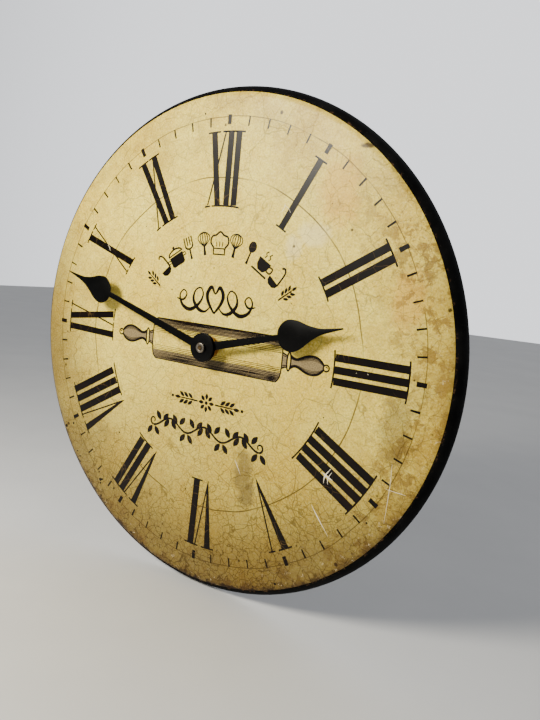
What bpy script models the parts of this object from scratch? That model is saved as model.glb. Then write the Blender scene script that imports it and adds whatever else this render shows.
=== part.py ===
"""Round wall clock with spade hands and a battery quartz movement.

Every piece is modelled in face coordinates, in millimetres: x to the right of the hand axis,
up above it, and out, the distance in front of the wall. One empty turns that frame upright,
so that the face looks along -Y and the back of the movement lies in the plane y = 0.
"""

import math

import bmesh
import bpy
from mathutils import Vector

MM = 0.001
WELD = 1e-6
GAP = 0.3

# Face board and dial print.
BOARD_RADIUS = 170.0
BOARD_BACK = 11.0
BOARD_THICKNESS = 9.5
BOARD_FRONT = BOARD_BACK + BOARD_THICKNESS
BOARD_STEPS = 72
BACK_CHAMFER = 0.6
EDGE_ROUNDING = 9.0
EDGE_STEP = 9.0
PRINT_RADIUS = 164.8
PRINT_THICKNESS = 0.3
SHAFT_HOLE = 4.1
POCKET_SIDE = 58.4
POCKET_FLOOR = 17.3

# Movement case, cover and hanger.
CASE_SIDE = 56.0
CASE_DEPTH = 16.0
CASE_WALL = 1.2
COVER_THICKNESS = 1.2
CAVITY = CASE_SIDE - 2 * CASE_WALL
PARTITION_TOP = -11.4
PARTITION_BOTTOM = -12.4
BAY_FLOOR = 15.0
BAY_BOTTOM = -27.2
LIP = 0.5
HANGER_WIDTH = 18.0
HANGER_BACK = 2.0
HANGER_FRONT = 4.0
KEYHOLE_UP = 34.0
KEYHOLE_RADIUS = 4.2
KEYHOLE_SLOT = 2.3
KEYHOLE_RISE = 2.9
POST_RADIUS = 1.6
POST_PLACES = ((-24.0, 24.0), (24.0, 24.0), (-24.0, -8.6), (24.0, -8.6))

# Gear train. Levels are (back, front) distances from the wall.
BRIDGE_LEVEL = (9.6, 10.6)
ROTOR_LEVEL = (5.1, 5.8)
SECOND_LEVEL = (6.2, 6.9)
THIRD_LEVEL = (7.4, 8.1)
CENTER_LEVEL = (8.5, 9.2)
MOTION_LEVEL = (11.0, 11.9)
HOUR_LEVEL = (12.5, 13.4)
PIVOT_RADIUS = 0.5
PIVOT_HOLE = 0.8
PIVOT_BACK = 0.8
PIVOT_FRONT = 10.3
ADDENDUM = 0.85
DEDENDUM = 1.25
ROOT_SHARE = 0.25
TIP_SHARE = 0.09

PINION_TEETH = 8
ROTOR_MODULE = 0.3
INTERMEDIATE_TEETH = 48
SECOND_MODULE = 0.45
SECOND_TEETH = 40
THIRD_MODULE = 0.32
THIRD_TEETH = 60
THIRD_DISTANCE = THIRD_MODULE * (PINION_TEETH + THIRD_TEETH) / 2
CENTER_TEETH = 64
CENTER_MODULE = 2 * THIRD_DISTANCE / (PINION_TEETH + CENTER_TEETH)
MOTION_MODULE = 0.5
CANNON_TEETH = 12
MOTION_TEETH = 36
HOUR_MODULE = 0.48
MOTION_PINION_TEETH = 10
HOUR_TEETH = 40
MOTION_DISTANCE = MOTION_MODULE * (CANNON_TEETH + MOTION_TEETH) / 2
KNOB_TEETH = 12

# Hand stack. The hands are named by the outer faces of their plates.
ARBOR_RADIUS = 1.6
ARBOR_TIP_RADIUS = 1.35
PIPE_BORE = 1.9
PIPE_RADIUS = 2.55
BUSH_BORE = 2.85
BUSH_RADIUS = 3.8
HAND_HUB = 9.6
HOUR_HAND_LEVEL = (28.0, 28.6)
MINUTE_HAND_LEVEL = (30.0, 30.6)
HAND_NUT_LEVEL = (30.9, 32.7)
ARBOR_FRONT = 33.0
HOUR_ANGLE = 75.8
HOUR_TIP = 103.3
HOUR_PEAK = 67.5
MINUTE_ANGLE = 286.6
MINUTE_TIP = 139.2
MINUTE_PEAK = 101.5
BLADE_AT_HUB = 2.8
BLADE_AT_SPADE = 1.9
SPADE = ((-9.2, 1.9), (-8.2, 4.9), (-6.0, 7.5), (-3.2, 9.3), (0.0, 10.0), (4.0, 9.3),
         (7.5, 7.9), (13.0, 4.9), (20.0, 2.2), (28.0, 1.1))

# Electrics.
BATTERY_RADIUS = 7.1
BATTERY_UP = -19.8
BATTERY_OUT = 7.5
BATTERY_END = 25.25
BATTERY_SHOULDER = 24.0
NUB_RADIUS = 2.75
STATOR_LEVEL = (3.7, 4.5)
STATOR_HOLE = 2.1
MAGNET_RADIUS = 1.7
COIL_UP = 22.0
COIL_OUT = 5.2
COIL_MIDDLE = 15.0
BOBBIN_HALF = 7.4
BOBBIN_FLANGE = 0.6
BOARD_LEVEL = (3.4, 4.2)


def polar(radius, degrees):
    """A point at a counter-clockwise angle from the x axis."""
    angle = math.radians(degrees)
    return Vector((radius * math.cos(angle), radius * math.sin(angle)))


CENTER = Vector((0.0, 0.0))
THIRD = polar(THIRD_DISTANCE, 45.0)
INTERMEDIATE = polar(SECOND_MODULE * (PINION_TEETH + SECOND_TEETH) / 2, -18.0)
ROTOR = INTERMEDIATE + polar(ROTOR_MODULE * (PINION_TEETH + INTERMEDIATE_TEETH) / 2, 20.0)
MOTION = polar(MOTION_DISTANCE, 135.0)
KNOB = MOTION + polar(MOTION_MODULE * (KNOB_TEETH + MOTION_TEETH) / 2, 155.0)


# Scene, collections and materials.

def clear_scene():
    for old in list(bpy.data.objects):
        bpy.data.objects.remove(old)


def new_collection(name):
    collection = bpy.data.collections.new(name)
    bpy.context.scene.collection.children.link(collection)
    return collection


def new_material(name, colour, roughness, metallic=0.0):
    material = bpy.data.materials.new(name)
    material.use_nodes = True
    shader = material.node_tree.nodes["Principled BSDF"]
    shader.inputs["Base Color"].default_value = (*colour, 1.0)
    shader.inputs["Roughness"].default_value = roughness
    shader.inputs["Metallic"].default_value = metallic
    return material


clear_scene()
PARTS = new_collection("wall_clock")
CUTTERS = new_collection("cutters")
FRAME = bpy.data.objects.new("face_frame", None)
FRAME.rotation_euler = (math.radians(90.0), 0.0, 0.0)
PARTS.objects.link(FRAME)
LOOKS = {
    "black_paint": new_material("black_paint", (0.02, 0.02, 0.022), 0.5),
    "aged_print": new_material("aged_print", (0.69, 0.56, 0.29), 0.45),
    "black_plastic": new_material("black_plastic", (0.03, 0.03, 0.03), 0.45),
    "white_plastic": new_material("white_plastic", (0.82, 0.81, 0.76), 0.4),
    "brass": new_material("brass", (0.72, 0.52, 0.22), 0.3, 1.0),
    "steel": new_material("steel", (0.55, 0.56, 0.57), 0.3, 1.0),
    "rubber": new_material("rubber", (0.03, 0.03, 0.03), 0.8),
    "circuit_board": new_material("circuit_board", (0.05, 0.22, 0.1), 0.5),
    "copper_winding": new_material("copper_winding", (0.6, 0.25, 0.08), 0.35, 1.0),
    "magnet": new_material("magnet", (0.1, 0.1, 0.11), 0.5, 0.6),
    "hand_lacquer": new_material("hand_lacquer", (0.012, 0.012, 0.013), 0.4),
    "battery_sleeve": new_material("battery_sleeve", (0.05, 0.08, 0.12), 0.35),
}


# Making pieces. Sizes come in millimetres and leave in metres.

def finish(piece, look, x=0.0, up=0.0, out=0.0, smooth=False):
    """Place a piece in the face frame and give it its material."""
    piece.location = Vector((x, up, out)) * MM
    piece.parent = FRAME
    piece.data.materials.clear()
    piece.data.materials.append(LOOKS[look])
    if piece.name not in PARTS.objects:
        PARTS.objects.link(piece)
    if smooth:
        piece.data.shade_smooth()
        piece.data.set_sharp_from_angle(angle=math.radians(30.0))
    return piece


def turned(name, profile, look, steps=24, closed=False, place=CENTER, along_x=False):
    """A Screw of (radius, out) points, listed down the outer side from the front."""
    mesh = bpy.data.meshes.new(name)
    points = [(radius * MM, 0.0, out * MM) for radius, out in profile]
    edges = [(index, index + 1) for index in range(len(points) - 1)]
    if closed:
        edges.append((len(points) - 1, 0))
    mesh.from_pydata(points, edges, [])
    piece = bpy.data.objects.new(name, mesh)
    screw = piece.modifiers.new("turn", 'SCREW')
    screw.steps = steps
    screw.render_steps = steps
    screw.use_merge_vertices = True
    screw.merge_threshold = WELD
    screw.use_smooth_shade = True
    finish(piece, look, place.x, place.y)
    if along_x:
        piece.rotation_euler = (0.0, math.radians(90.0), 0.0)
    return piece


def ring(inner, outer, back, front):
    """The closed profile of a plain ring."""
    return [(outer, front), (outer, back), (inner, back), (inner, front)]


def rod(radius, back, front, chamfer=0.0):
    """The profile of a solid rod, with optional chamfered ends."""
    if not chamfer:
        return [(0.0, front), (radius, front), (radius, back), (0.0, back)]
    small = radius - chamfer
    return [(0.0, front), (small, front), (radius, front - chamfer),
            (radius, back + chamfer), (small, back), (0.0, back)]


def flat(name, outlines, level, look, place=CENTER):
    """A plate with the first outline as its edge and the others as holes."""
    back, front = level
    curve = bpy.data.curves.new(name, 'CURVE')
    curve.dimensions = '2D'
    curve.fill_mode = 'BOTH'
    curve.extrude = (front - back) / 2 * MM
    for outline in outlines:
        spline = curve.splines.new('POLY')
        spline.points.add(len(outline) - 1)
        for point, (x, up) in zip(spline.points, outline):
            point.co = (x * MM, up * MM, 0.0, 1.0)
        spline.use_cyclic_u = True
    sketch = bpy.data.objects.new(name + "_sketch", curve)
    bpy.context.scene.collection.objects.link(sketch)
    bpy.context.view_layer.update()
    evaluated = sketch.evaluated_get(bpy.context.evaluated_depsgraph_get())
    mesh = bpy.data.meshes.new_from_object(evaluated)
    shape = bmesh.new()
    shape.from_mesh(mesh)
    bmesh.ops.remove_doubles(shape, verts=shape.verts, dist=WELD)
    shape.to_mesh(mesh)
    shape.free()
    mesh.name = name
    bpy.data.objects.remove(sketch)
    piece = bpy.data.objects.new(name, mesh)
    return finish(piece, look, place.x, place.y, (back + front) / 2)


def box(name, low, high, look, bevel=0.0):
    """A block between two corners (x, up, out), with optional rounded edges."""
    low = Vector(low) * MM
    high = Vector(high) * MM
    shape = bmesh.new()
    bmesh.ops.create_cube(shape, size=1.0)
    bmesh.ops.scale(shape, vec=high - low, verts=shape.verts)
    mesh = bpy.data.meshes.new(name)
    shape.to_mesh(mesh)
    shape.free()
    piece = bpy.data.objects.new(name, mesh)
    finish(piece, look, *((low + high) / 2 / MM))
    if bevel:
        rounding = piece.modifiers.new("edge", 'BEVEL')
        rounding.width = bevel * MM
        rounding.segments = 2
    return piece


def boolean(target, tool, operation):
    """Cut the tool from the target, or join it on, and put the tool away."""
    modifier = target.modifiers.new(tool.name, 'BOOLEAN')
    modifier.operation = operation
    modifier.solver = 'EXACT'
    modifier.object = tool
    PARTS.objects.unlink(tool)
    CUTTERS.objects.link(tool)
    tool.hide_render = True
    tool.display_type = 'WIRE'


def cut(target, tool):
    boolean(target, tool, 'DIFFERENCE')


def join(target, tool):
    boolean(target, tool, 'UNION')


def drill(target, name, radius, level, place=CENTER, steps=12):
    back, front = level
    cut(target, turned(name, rod(radius, back, front), "steel", steps, place=place))


def circle(radius, steps, place=CENTER):
    return [tuple(place + polar(radius, index * 360.0 / steps)) for index in range(steps)]


def arc(radius, start, end, steps, place=CENTER):
    turn = (end - start) / steps
    return [tuple(place + polar(radius, start + index * turn)) for index in range(steps + 1)]


# Gears.

def gear_outline(teeth, module, phase):
    """Straight-sided teeth, one of them centred on the phase angle in degrees."""
    pitch = 360.0 / teeth
    root = module * (teeth / 2 - DEDENDUM)
    tip = module * (teeth / 2 + ADDENDUM)
    flanks = ((root, -ROOT_SHARE), (tip, -TIP_SHARE), (tip, TIP_SHARE), (root, ROOT_SHARE))
    points = []
    for index in range(teeth):
        for radius, share in flanks:
            points.append(tuple(polar(radius, phase + (index + share) * pitch)))
    return points


def direction(start, end):
    line = end - start
    return math.degrees(math.atan2(line.y, line.x))


def partner_phase(teeth, phase, partner_teeth, line):
    """Phase that puts the partner's gaps over this gear's teeth, with line pointing to it."""
    pitch = 360.0 / teeth
    offset = (line - phase) % pitch
    return line + 180.0 + offset * teeth / partner_teeth + 180.0 / partner_teeth


def arbor(name, place, back=PIVOT_BACK, front=PIVOT_FRONT, radius=PIVOT_RADIUS):
    return turned(name, rod(radius, back, front), "steel", 12, place=place)


def geared_wheel(name, place, wheel, wheel_level, pinion, pinion_level, look):
    """A wheel and its pinion, each given as (teeth, module, phase), joined on one arbor."""
    piece = flat(name, [gear_outline(*wheel)], wheel_level, look, place)
    join(piece, flat(name + "_pinion", [gear_outline(*pinion)], pinion_level, look, place))
    return piece


# Face.

def edge_angle(radius):
    """How far round the front edge, in degrees, the surface has reached at a radius."""
    return math.degrees(math.asin((radius - BOARD_RADIUS + EDGE_ROUNDING) / EDGE_ROUNDING))


def edge_arc(depth, start, end):
    """Points round the front edge between two angles, at a depth below the surface."""
    steps = max(1, round((end - start) / EDGE_STEP))
    angles = [math.radians(start + (end - start) * step / steps) for step in range(steps + 1)]
    reach = EDGE_ROUNDING - depth
    return [(BOARD_RADIUS - EDGE_ROUNDING + reach * math.sin(angle),
             BOARD_FRONT - EDGE_ROUNDING + reach * math.cos(angle)) for angle in angles]


def face_board():
    rim = edge_angle(PRINT_RADIUS + GAP)
    recess = PRINT_THICKNESS + GAP
    profile = [(0.0, BOARD_FRONT - recess)] + edge_arc(recess, 0.0, rim) + edge_arc(0.0, rim, 90.0)
    profile += [(BOARD_RADIUS - BACK_CHAMFER, BOARD_BACK), (0.0, BOARD_BACK)]
    board = turned("face_board", profile, "black_paint", BOARD_STEPS)
    half = POCKET_SIDE / 2
    pocket = box("pocket_cutter", (-half, -half, BOARD_BACK - 1.0), (half, half, POCKET_FLOOR),
                 "steel")
    cut(board, pocket)
    drill(board, "shaft_cutter", SHAFT_HOLE, (BOARD_BACK, BOARD_FRONT + 1.0), steps=32)


def dial_print():
    edge = edge_angle(PRINT_RADIUS)
    front = [(SHAFT_HOLE, BOARD_FRONT)] + edge_arc(0.0, 0.0, edge)
    back = edge_arc(PRINT_THICKNESS, 0.0, edge)[::-1] + [(SHAFT_HOLE, BOARD_FRONT - PRINT_THICKNESS)]
    turned("dial_print", front + back, "aged_print", BOARD_STEPS, closed=True)


# Movement housing.

def keyhole_outline():
    """A round hole with a slot above it that ends in a half circle."""
    spread = math.degrees(math.asin(KEYHOLE_SLOT / KEYHOLE_RADIUS))
    middle = Vector((0.0, KEYHOLE_UP))
    slot_top = middle + Vector((0.0, KEYHOLE_RISE))
    hole = arc(KEYHOLE_RADIUS, 90.0 + spread, 450.0 - spread, 20, middle)
    return hole + arc(KEYHOLE_SLOT, 0.0, 180.0, 6, slot_top)


def hanger_tab():
    half = HANGER_WIDTH / 2
    middle = Vector((0.0, KEYHOLE_UP))
    foot = CASE_SIDE / 2 - 0.8
    outline = [(-half, foot), (half, foot)] + arc(half, 0.0, 180.0, 14, middle)
    return flat("hanger_tab", [outline, keyhole_outline()], (HANGER_BACK, HANGER_FRONT),
                "black_plastic")


def movement_case():
    half = CASE_SIDE / 2
    case = box("movement_case", (-half, -half, 0.0), (half, half, CASE_DEPTH), "black_plastic",
               bevel=0.8)
    inner = CAVITY / 2
    cut(case, box("cover_seat_cutter", (-half - 1.0, PARTITION_TOP - LIP, -1.0),
                  (half + 1.0, half + 1.0, COVER_THICKNESS + GAP), "steel"))
    cut(case, box("gear_cavity_cutter", (-inner, PARTITION_TOP, -1.0),
                  (inner, inner, CASE_DEPTH - CASE_WALL), "steel"))
    cut(case, box("battery_bay_cutter", (-inner, BAY_BOTTOM, -1.0),
                  (inner, PARTITION_BOTTOM, BAY_FLOOR), "steel"))
    drill(case, "bush_hole_cutter", SHAFT_HOLE, (BRIDGE_LEVEL[1], CASE_DEPTH + 1.0), steps=24)
    for number, (x, up) in enumerate(POST_PLACES):
        join(case, turned(f"bridge_post_{number}", rod(POST_RADIUS, BRIDGE_LEVEL[1] + GAP, 15.2),
                          "black_plastic", 12, place=Vector((x, up))))
    join(case, hanger_tab())


def movement_back_cover():
    half = CASE_SIDE / 2
    cover = box("movement_back_cover", (-half, PARTITION_TOP - LIP + GAP, 0.0),
                (half, half, COVER_THICKNESS), "black_plastic")
    blind = (0.5, COVER_THICKNESS + 1.0)
    for number, place in enumerate((CENTER, THIRD, INTERMEDIATE, ROTOR)):
        drill(cover, f"cover_pivot_cutter_{number}", PIVOT_HOLE, blind, place)
    drill(cover, "knob_window_cutter", 4.8, (-1.0, COVER_THICKNESS + 1.0), KNOB, 24)


def gear_bridge():
    half = CAVITY / 2 - 0.4
    bridge = box("gear_bridge", (-half, PARTITION_TOP + 0.4, BRIDGE_LEVEL[0]),
                 (half, half, BRIDGE_LEVEL[1]), "white_plastic")
    through = (BRIDGE_LEVEL[0] - 1.0, BRIDGE_LEVEL[1] + 1.0)
    for number, place in enumerate((THIRD, INTERMEDIATE, ROTOR, MOTION)):
        drill(bridge, f"bridge_pivot_cutter_{number}", PIVOT_HOLE + 0.1, through, place)
    drill(bridge, "bridge_arbor_cutter", ARBOR_RADIUS + 0.4, through, CENTER, 16)
    drill(bridge, "bridge_knob_cutter", 1.4, through, KNOB)


def mounting_hardware():
    turned("threaded_bush",
           [(BUSH_RADIUS - 0.3, 23.7), (BUSH_RADIUS, 23.4), (BUSH_RADIUS, 14.5), (5.5, 14.5),
            (5.5, 13.7), (BUSH_BORE, 13.7), (BUSH_BORE, 23.7)],
           "brass", 24, closed=True)
    turned("rubber_washer", ring(SHAFT_HOLE, 9.0, CASE_DEPTH + GAP, POCKET_FLOOR - GAP), "rubber",
           24, closed=True)
    washer_back = BOARD_FRONT + GAP
    turned("mounting_washer", ring(SHAFT_HOLE, 7.0, washer_back, washer_back + 0.5), "brass", 24,
           closed=True)
    flat("mounting_nut", [circle(6.35, 6), circle(SHAFT_HOLE, 24)], (21.6, 23.4), "brass")


# Gear train.

def power_train():
    third_line = direction(CENTER, THIRD)
    step = direction(CENTER, INTERMEDIATE)
    rotor_line = direction(INTERMEDIATE, ROTOR)
    second_phase = step
    join(geared_wheel("second_wheel", CENTER,
                      (SECOND_TEETH, SECOND_MODULE, second_phase), SECOND_LEVEL,
                      (PINION_TEETH, THIRD_MODULE, third_line), (6.8, THIRD_LEVEL[1]),
                      "white_plastic"),
         arbor("second_arbor", CENTER, front=7.9))
    third_phase = partner_phase(PINION_TEETH, third_line, THIRD_TEETH, third_line)
    join(geared_wheel("third_wheel", THIRD,
                      (THIRD_TEETH, THIRD_MODULE, third_phase), THIRD_LEVEL,
                      (PINION_TEETH, CENTER_MODULE, third_line), (8.0, CENTER_LEVEL[1]),
                      "white_plastic"),
         arbor("third_arbor", THIRD))
    center_phase = partner_phase(PINION_TEETH, third_line, CENTER_TEETH, third_line + 180.0)
    flat("center_wheel", [gear_outline(CENTER_TEETH, CENTER_MODULE, center_phase),
                          circle(PIPE_BORE, 20)], CENTER_LEVEL, "brass")
    pinion_phase = partner_phase(SECOND_TEETH, second_phase, PINION_TEETH, step)
    join(geared_wheel("intermediate_wheel", INTERMEDIATE,
                      (INTERMEDIATE_TEETH, ROTOR_MODULE, rotor_line), ROTOR_LEVEL,
                      (PINION_TEETH, SECOND_MODULE, pinion_phase), (5.7, SECOND_LEVEL[1]),
                      "white_plastic"),
         arbor("intermediate_arbor", INTERMEDIATE))
    rotor_phase = partner_phase(INTERMEDIATE_TEETH, rotor_line, PINION_TEETH, rotor_line)
    rotor = flat("rotor", [gear_outline(PINION_TEETH, ROTOR_MODULE, rotor_phase)], (4.7, 6.0),
                 "magnet", ROTOR)
    join(rotor, turned("rotor_magnet", rod(MAGNET_RADIUS, 3.4, 4.8), "magnet", 20, place=ROTOR))
    join(rotor, arbor("rotor_arbor", ROTOR))


def minute_arbor(phase):
    profile = [(0.0, ARBOR_FRONT), (ARBOR_TIP_RADIUS - 0.2, ARBOR_FRONT),
               (ARBOR_TIP_RADIUS, ARBOR_FRONT - 0.2), (ARBOR_TIP_RADIUS, 29.7),
               (ARBOR_RADIUS, 29.7), (ARBOR_RADIUS, 8.5), (0.0, 8.5)]
    piece = turned("minute_arbor", profile, "brass", 20)
    join(piece, flat("cannon_pinion", [gear_outline(CANNON_TEETH, MOTION_MODULE, phase)],
                     MOTION_LEVEL, "brass"))


def motion_work():
    line = direction(CENTER, MOTION)
    minute_arbor(line)
    motion_phase = partner_phase(CANNON_TEETH, line, MOTION_TEETH, line)
    join(geared_wheel("motion_wheel", MOTION,
                      (MOTION_TEETH, MOTION_MODULE, motion_phase), MOTION_LEVEL,
                      (MOTION_PINION_TEETH, HOUR_MODULE, line + 180.0), (11.8, HOUR_LEVEL[1]),
                      "white_plastic"),
         arbor("motion_arbor", MOTION, 9.8, 14.5))
    hour_phase = partner_phase(MOTION_PINION_TEETH, line + 180.0, HOUR_TEETH, line + 180.0)
    hour_wheel = flat("hour_wheel", [gear_outline(HOUR_TEETH, HOUR_MODULE, hour_phase),
                                     circle(2.2, 24)], HOUR_LEVEL, "white_plastic")
    join(hour_wheel, turned("hour_pipe", ring(PIPE_BORE, PIPE_RADIUS, 12.3, 29.3),
                            "white_plastic", 24, closed=True))
    setting_knob(motion_phase)


def setting_knob(motion_phase):
    line = direction(MOTION, KNOB)
    phase = partner_phase(MOTION_TEETH, motion_phase, KNOB_TEETH, line)
    knob = flat("setting_knob", [gear_outline(KNOB_TEETH, MOTION_MODULE, phase)], MOTION_LEVEL,
                "white_plastic", KNOB)
    join(knob, turned("knob_arbor", rod(1.0, 3.0, 14.5), "white_plastic", 12, place=KNOB))
    grip = [tuple(polar(4.4 if index % 2 else 4.0, index * 10.0)) for index in range(36)]
    join(knob, flat("knob_grip", [grip], (GAP, 3.2), "white_plastic", KNOB))


# Electrics.

def stator_and_coil():
    outline = [(13.0, -5.0), (26.0, -5.0), (26.0, 24.0), (23.0, 24.0), (23.0, 4.5), (16.0, 4.5),
               (16.0, 17.5), (7.0, 17.5), (7.0, 24.0), (4.0, 24.0), (4.0, 14.5), (13.0, 14.5)]
    flat("stator", [outline, circle(STATOR_HOLE, 24, ROTOR)], STATOR_LEVEL, "steel")
    box("coil_core", (4.3, COIL_UP - 1.4, COIL_OUT - 0.4), (25.7, COIL_UP + 1.4, COIL_OUT + 0.4),
        "steel")
    flange = BOBBIN_HALF - BOBBIN_FLANGE
    spool = [(3.4, BOBBIN_HALF), (3.4, flange), (2.15, flange), (2.15, -flange),
             (3.4, -flange), (3.4, -BOBBIN_HALF), (1.75, -BOBBIN_HALF), (1.75, BOBBIN_HALF)]
    bobbin = turned("coil_bobbin", spool, "white_plastic", 20, closed=True, along_x=True)
    winding = turned("coil_winding", ring(2.45, 3.2, -flange + GAP, flange - GAP),
                     "copper_winding", 20, closed=True, along_x=True)
    for piece in (bobbin, winding):
        piece.location = Vector((COIL_MIDDLE, COIL_UP, COIL_OUT)) * MM


def circuit():
    box("circuit_board", (-26.3, -11.0, BOARD_LEVEL[0]), (-11.5, 4.0, BOARD_LEVEL[1]),
        "circuit_board")
    crystal = turned("quartz_crystal", rod(1.0, -3.0, 3.0, 0.25), "steel", 16, along_x=True)
    crystal.location = Vector((-21.0, -6.5, BOARD_LEVEL[1] + GAP + 1.0)) * MM
    foot = BOARD_LEVEL[1] + GAP
    dome = [(2.4 * math.sin(math.radians(angle)), foot + 0.2 + 1.0 * math.cos(math.radians(angle)))
            for angle in range(0, 91, 18)]
    turned("chip_blob", dome + [(2.4, foot), (0.0, foot)], "black_plastic", 20,
           place=Vector((-17.5, -0.5)))


def power_cell():
    cell = [(0.0, BATTERY_END), (NUB_RADIUS, BATTERY_END), (NUB_RADIUS, BATTERY_SHOULDER),
            (BATTERY_RADIUS - 0.5, BATTERY_SHOULDER), (BATTERY_RADIUS, BATTERY_SHOULDER - 0.5),
            (BATTERY_RADIUS, -BATTERY_END + 0.5), (BATTERY_RADIUS - 0.5, -BATTERY_END),
            (0.0, -BATTERY_END)]
    battery = turned("battery", cell, "battery_sleeve", 32, along_x=True)
    battery.location = Vector((0.0, BATTERY_UP, BATTERY_OUT)) * MM
    box("battery_contact_positive", (25.6, BATTERY_UP - 5.0, 2.5), (26.0, BATTERY_UP + 5.0, 12.5),
        "steel")
    negative = box("battery_contact_negative", (-26.4, BATTERY_UP - 5.0, 2.5),
                   (-26.0, BATTERY_UP + 5.0, 12.5), "steel")
    button = turned("contact_button", [(0.0, 0.45), (1.4, 0.45), (3.0, 0.0), (3.0, -0.2),
                                       (0.0, -0.2)], "steel", 16, along_x=True)
    button.location = Vector((-26.0, BATTERY_UP, BATTERY_OUT)) * MM
    join(negative, button)


# Hands.

def smooth_through(points, steps):
    """Points on a Catmull-Rom curve through the given ones."""
    padded = [points[0]] + list(points) + [points[-1]]
    result = [points[0]]
    for before, start, end, after in zip(padded, padded[1:], padded[2:], padded[3:]):
        for step in range(1, steps + 1):
            t = step / steps
            place = []
            for a, b, c, d in zip(before, start, end, after):
                place.append(0.5 * (2 * b + (c - a) * t + (2 * a - 5 * b + 4 * c - d) * t * t
                                    + (3 * b - a - 3 * c + d) * t ** 3))
            result.append(tuple(place))
    return result


def hand_outline(peak, tip, tip_width, angle):
    """Round hub, tapering blade and spade, turned clockwise from twelve by the angle."""
    spade = [(peak + along, width) for along, width in SPADE] + [(tip, tip_width)]
    side = [(HAND_HUB * math.cos(math.asin(BLADE_AT_HUB / HAND_HUB)), BLADE_AT_HUB)]
    side += smooth_through(spade, 3)
    hub_start = math.degrees(math.asin(BLADE_AT_HUB / HAND_HUB))
    hub = arc(HAND_HUB, hub_start, 360.0 - hub_start, 36)[1:-1]
    outline = hub + [(along, -width) for along, width in side]
    outline += [(along, width) for along, width in reversed(side)]
    turn = math.radians(90.0 - angle)
    return [(along * math.cos(turn) - width * math.sin(turn),
             along * math.sin(turn) + width * math.cos(turn)) for along, width in outline]


def hands():
    hour = flat("hour_hand", [hand_outline(HOUR_PEAK, HOUR_TIP, 0.5, HOUR_ANGLE),
                              circle(BUSH_BORE, 24)], HOUR_HAND_LEVEL, "hand_lacquer")
    join(hour, turned("hour_collet", ring(BUSH_BORE + 0.02, 4.2, 24.6, 28.2), "hand_lacquer", 24,
                      closed=True))
    flat("minute_hand", [hand_outline(MINUTE_PEAK, MINUTE_TIP, 0.25, MINUTE_ANGLE),
                         circle(ARBOR_TIP_RADIUS + GAP, 20)], MINUTE_HAND_LEVEL, "hand_lacquer")
    back, front = HAND_NUT_LEVEL
    bore = ARBOR_TIP_RADIUS + GAP
    turned("hand_nut", [(3.0, front), (3.3, front - 0.3), (3.3, back), (bore, back), (bore, front)],
           "steel", 24, closed=True)


face_board()
dial_print()
movement_case()
movement_back_cover()
gear_bridge()
mounting_hardware()
power_train()
motion_work()
stator_and_coil()
circuit()
power_cell()
hands()
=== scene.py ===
"""Looks of a round wall clock: an aged printed dial on a black board, spade hands and a quartz movement.

Drawings are made lying flat, in face coordinates: x to the right of the hand axis, y up the dial
and z the distance in front of the wall. Each one is then turned upright, so it faces -Y.
"""

import math
import random

import bpy
from bpy.props import FloatProperty, FloatVectorProperty, IntProperty, PointerProperty
from mathutils import Matrix, Vector


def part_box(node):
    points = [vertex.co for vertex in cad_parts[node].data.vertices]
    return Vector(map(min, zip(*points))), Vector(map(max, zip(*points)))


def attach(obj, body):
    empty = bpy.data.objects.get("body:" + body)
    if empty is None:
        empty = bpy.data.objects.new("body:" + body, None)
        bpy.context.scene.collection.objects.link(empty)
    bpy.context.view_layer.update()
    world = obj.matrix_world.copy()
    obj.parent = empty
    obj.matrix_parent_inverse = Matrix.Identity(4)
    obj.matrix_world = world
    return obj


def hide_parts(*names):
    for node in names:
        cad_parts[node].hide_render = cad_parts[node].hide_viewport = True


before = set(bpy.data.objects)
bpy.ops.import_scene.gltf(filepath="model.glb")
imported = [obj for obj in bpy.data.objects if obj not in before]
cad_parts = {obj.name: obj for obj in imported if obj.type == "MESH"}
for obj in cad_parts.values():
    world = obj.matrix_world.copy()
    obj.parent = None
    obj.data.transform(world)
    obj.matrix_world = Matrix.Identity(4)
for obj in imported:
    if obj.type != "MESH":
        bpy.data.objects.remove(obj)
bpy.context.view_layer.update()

bl_info = {
    "name": "Wall Clock Looks",
    "version": (1, 0, 0),
    "blender": (4, 5, 0),
    "location": "3D View > Sidebar > Clock",
    "description": "Dresses the packed wall clock with its dial art, hands, movement and finishes",
    "category": "Object",
}

MM = 0.001


class Box:
    """The box of a node of the frame, in millimetres of face coordinates."""

    def __init__(self, node):
        low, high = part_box(node)
        self.left = low.x / MM
        self.right = high.x / MM
        self.foot = low.z / MM
        self.top = high.z / MM
        self.back = -high.y / MM
        self.front = -low.y / MM


# Places read from the frame.
BOARD_RADIUS = Box("face_board").right
BOARD_BACK = Box("face_board").back
PRINT_RADIUS = Box("dial_print").right
FACE = Box("dial_print").front
CASE_HALF = Box("movement_case").right
CASE_DEPTH = Box("movement_case").front

# The solids' own sizes that no box shows.
EDGE_ROUNDING = 9.0
BACK_CHAMFER = 0.6
SHEET_THICKNESS = 0.3
SHEET_GAP = 0.3
SHAFT_HOLE = 4.1
POCKET_FLOOR = 17.3
POCKET_PLAY = 1.2
POCKET_CORNER = 3.0

# How far the middle of a pen line lies above the sheet.
PEN_LIFT = 0.012


def linear(red, green, blue):
    """A screen colour, 0 to 255, as the linear colour that shaders take."""
    return tuple((part / 255.0) ** 2.2 for part in (red, green, blue))


# Settings.

def length(name, description, millimetres):
    return FloatProperty(name=name, description=description, default=millimetres * MM, unit='LENGTH')


def number(name, description, default, unit='NONE'):
    return FloatProperty(name=name, description=description, default=default, unit=unit)


def colour(name, description, *screen):
    return FloatVectorProperty(name=name, description=description, default=linear(*screen),
                               subtype='COLOR', size=3)


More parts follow.
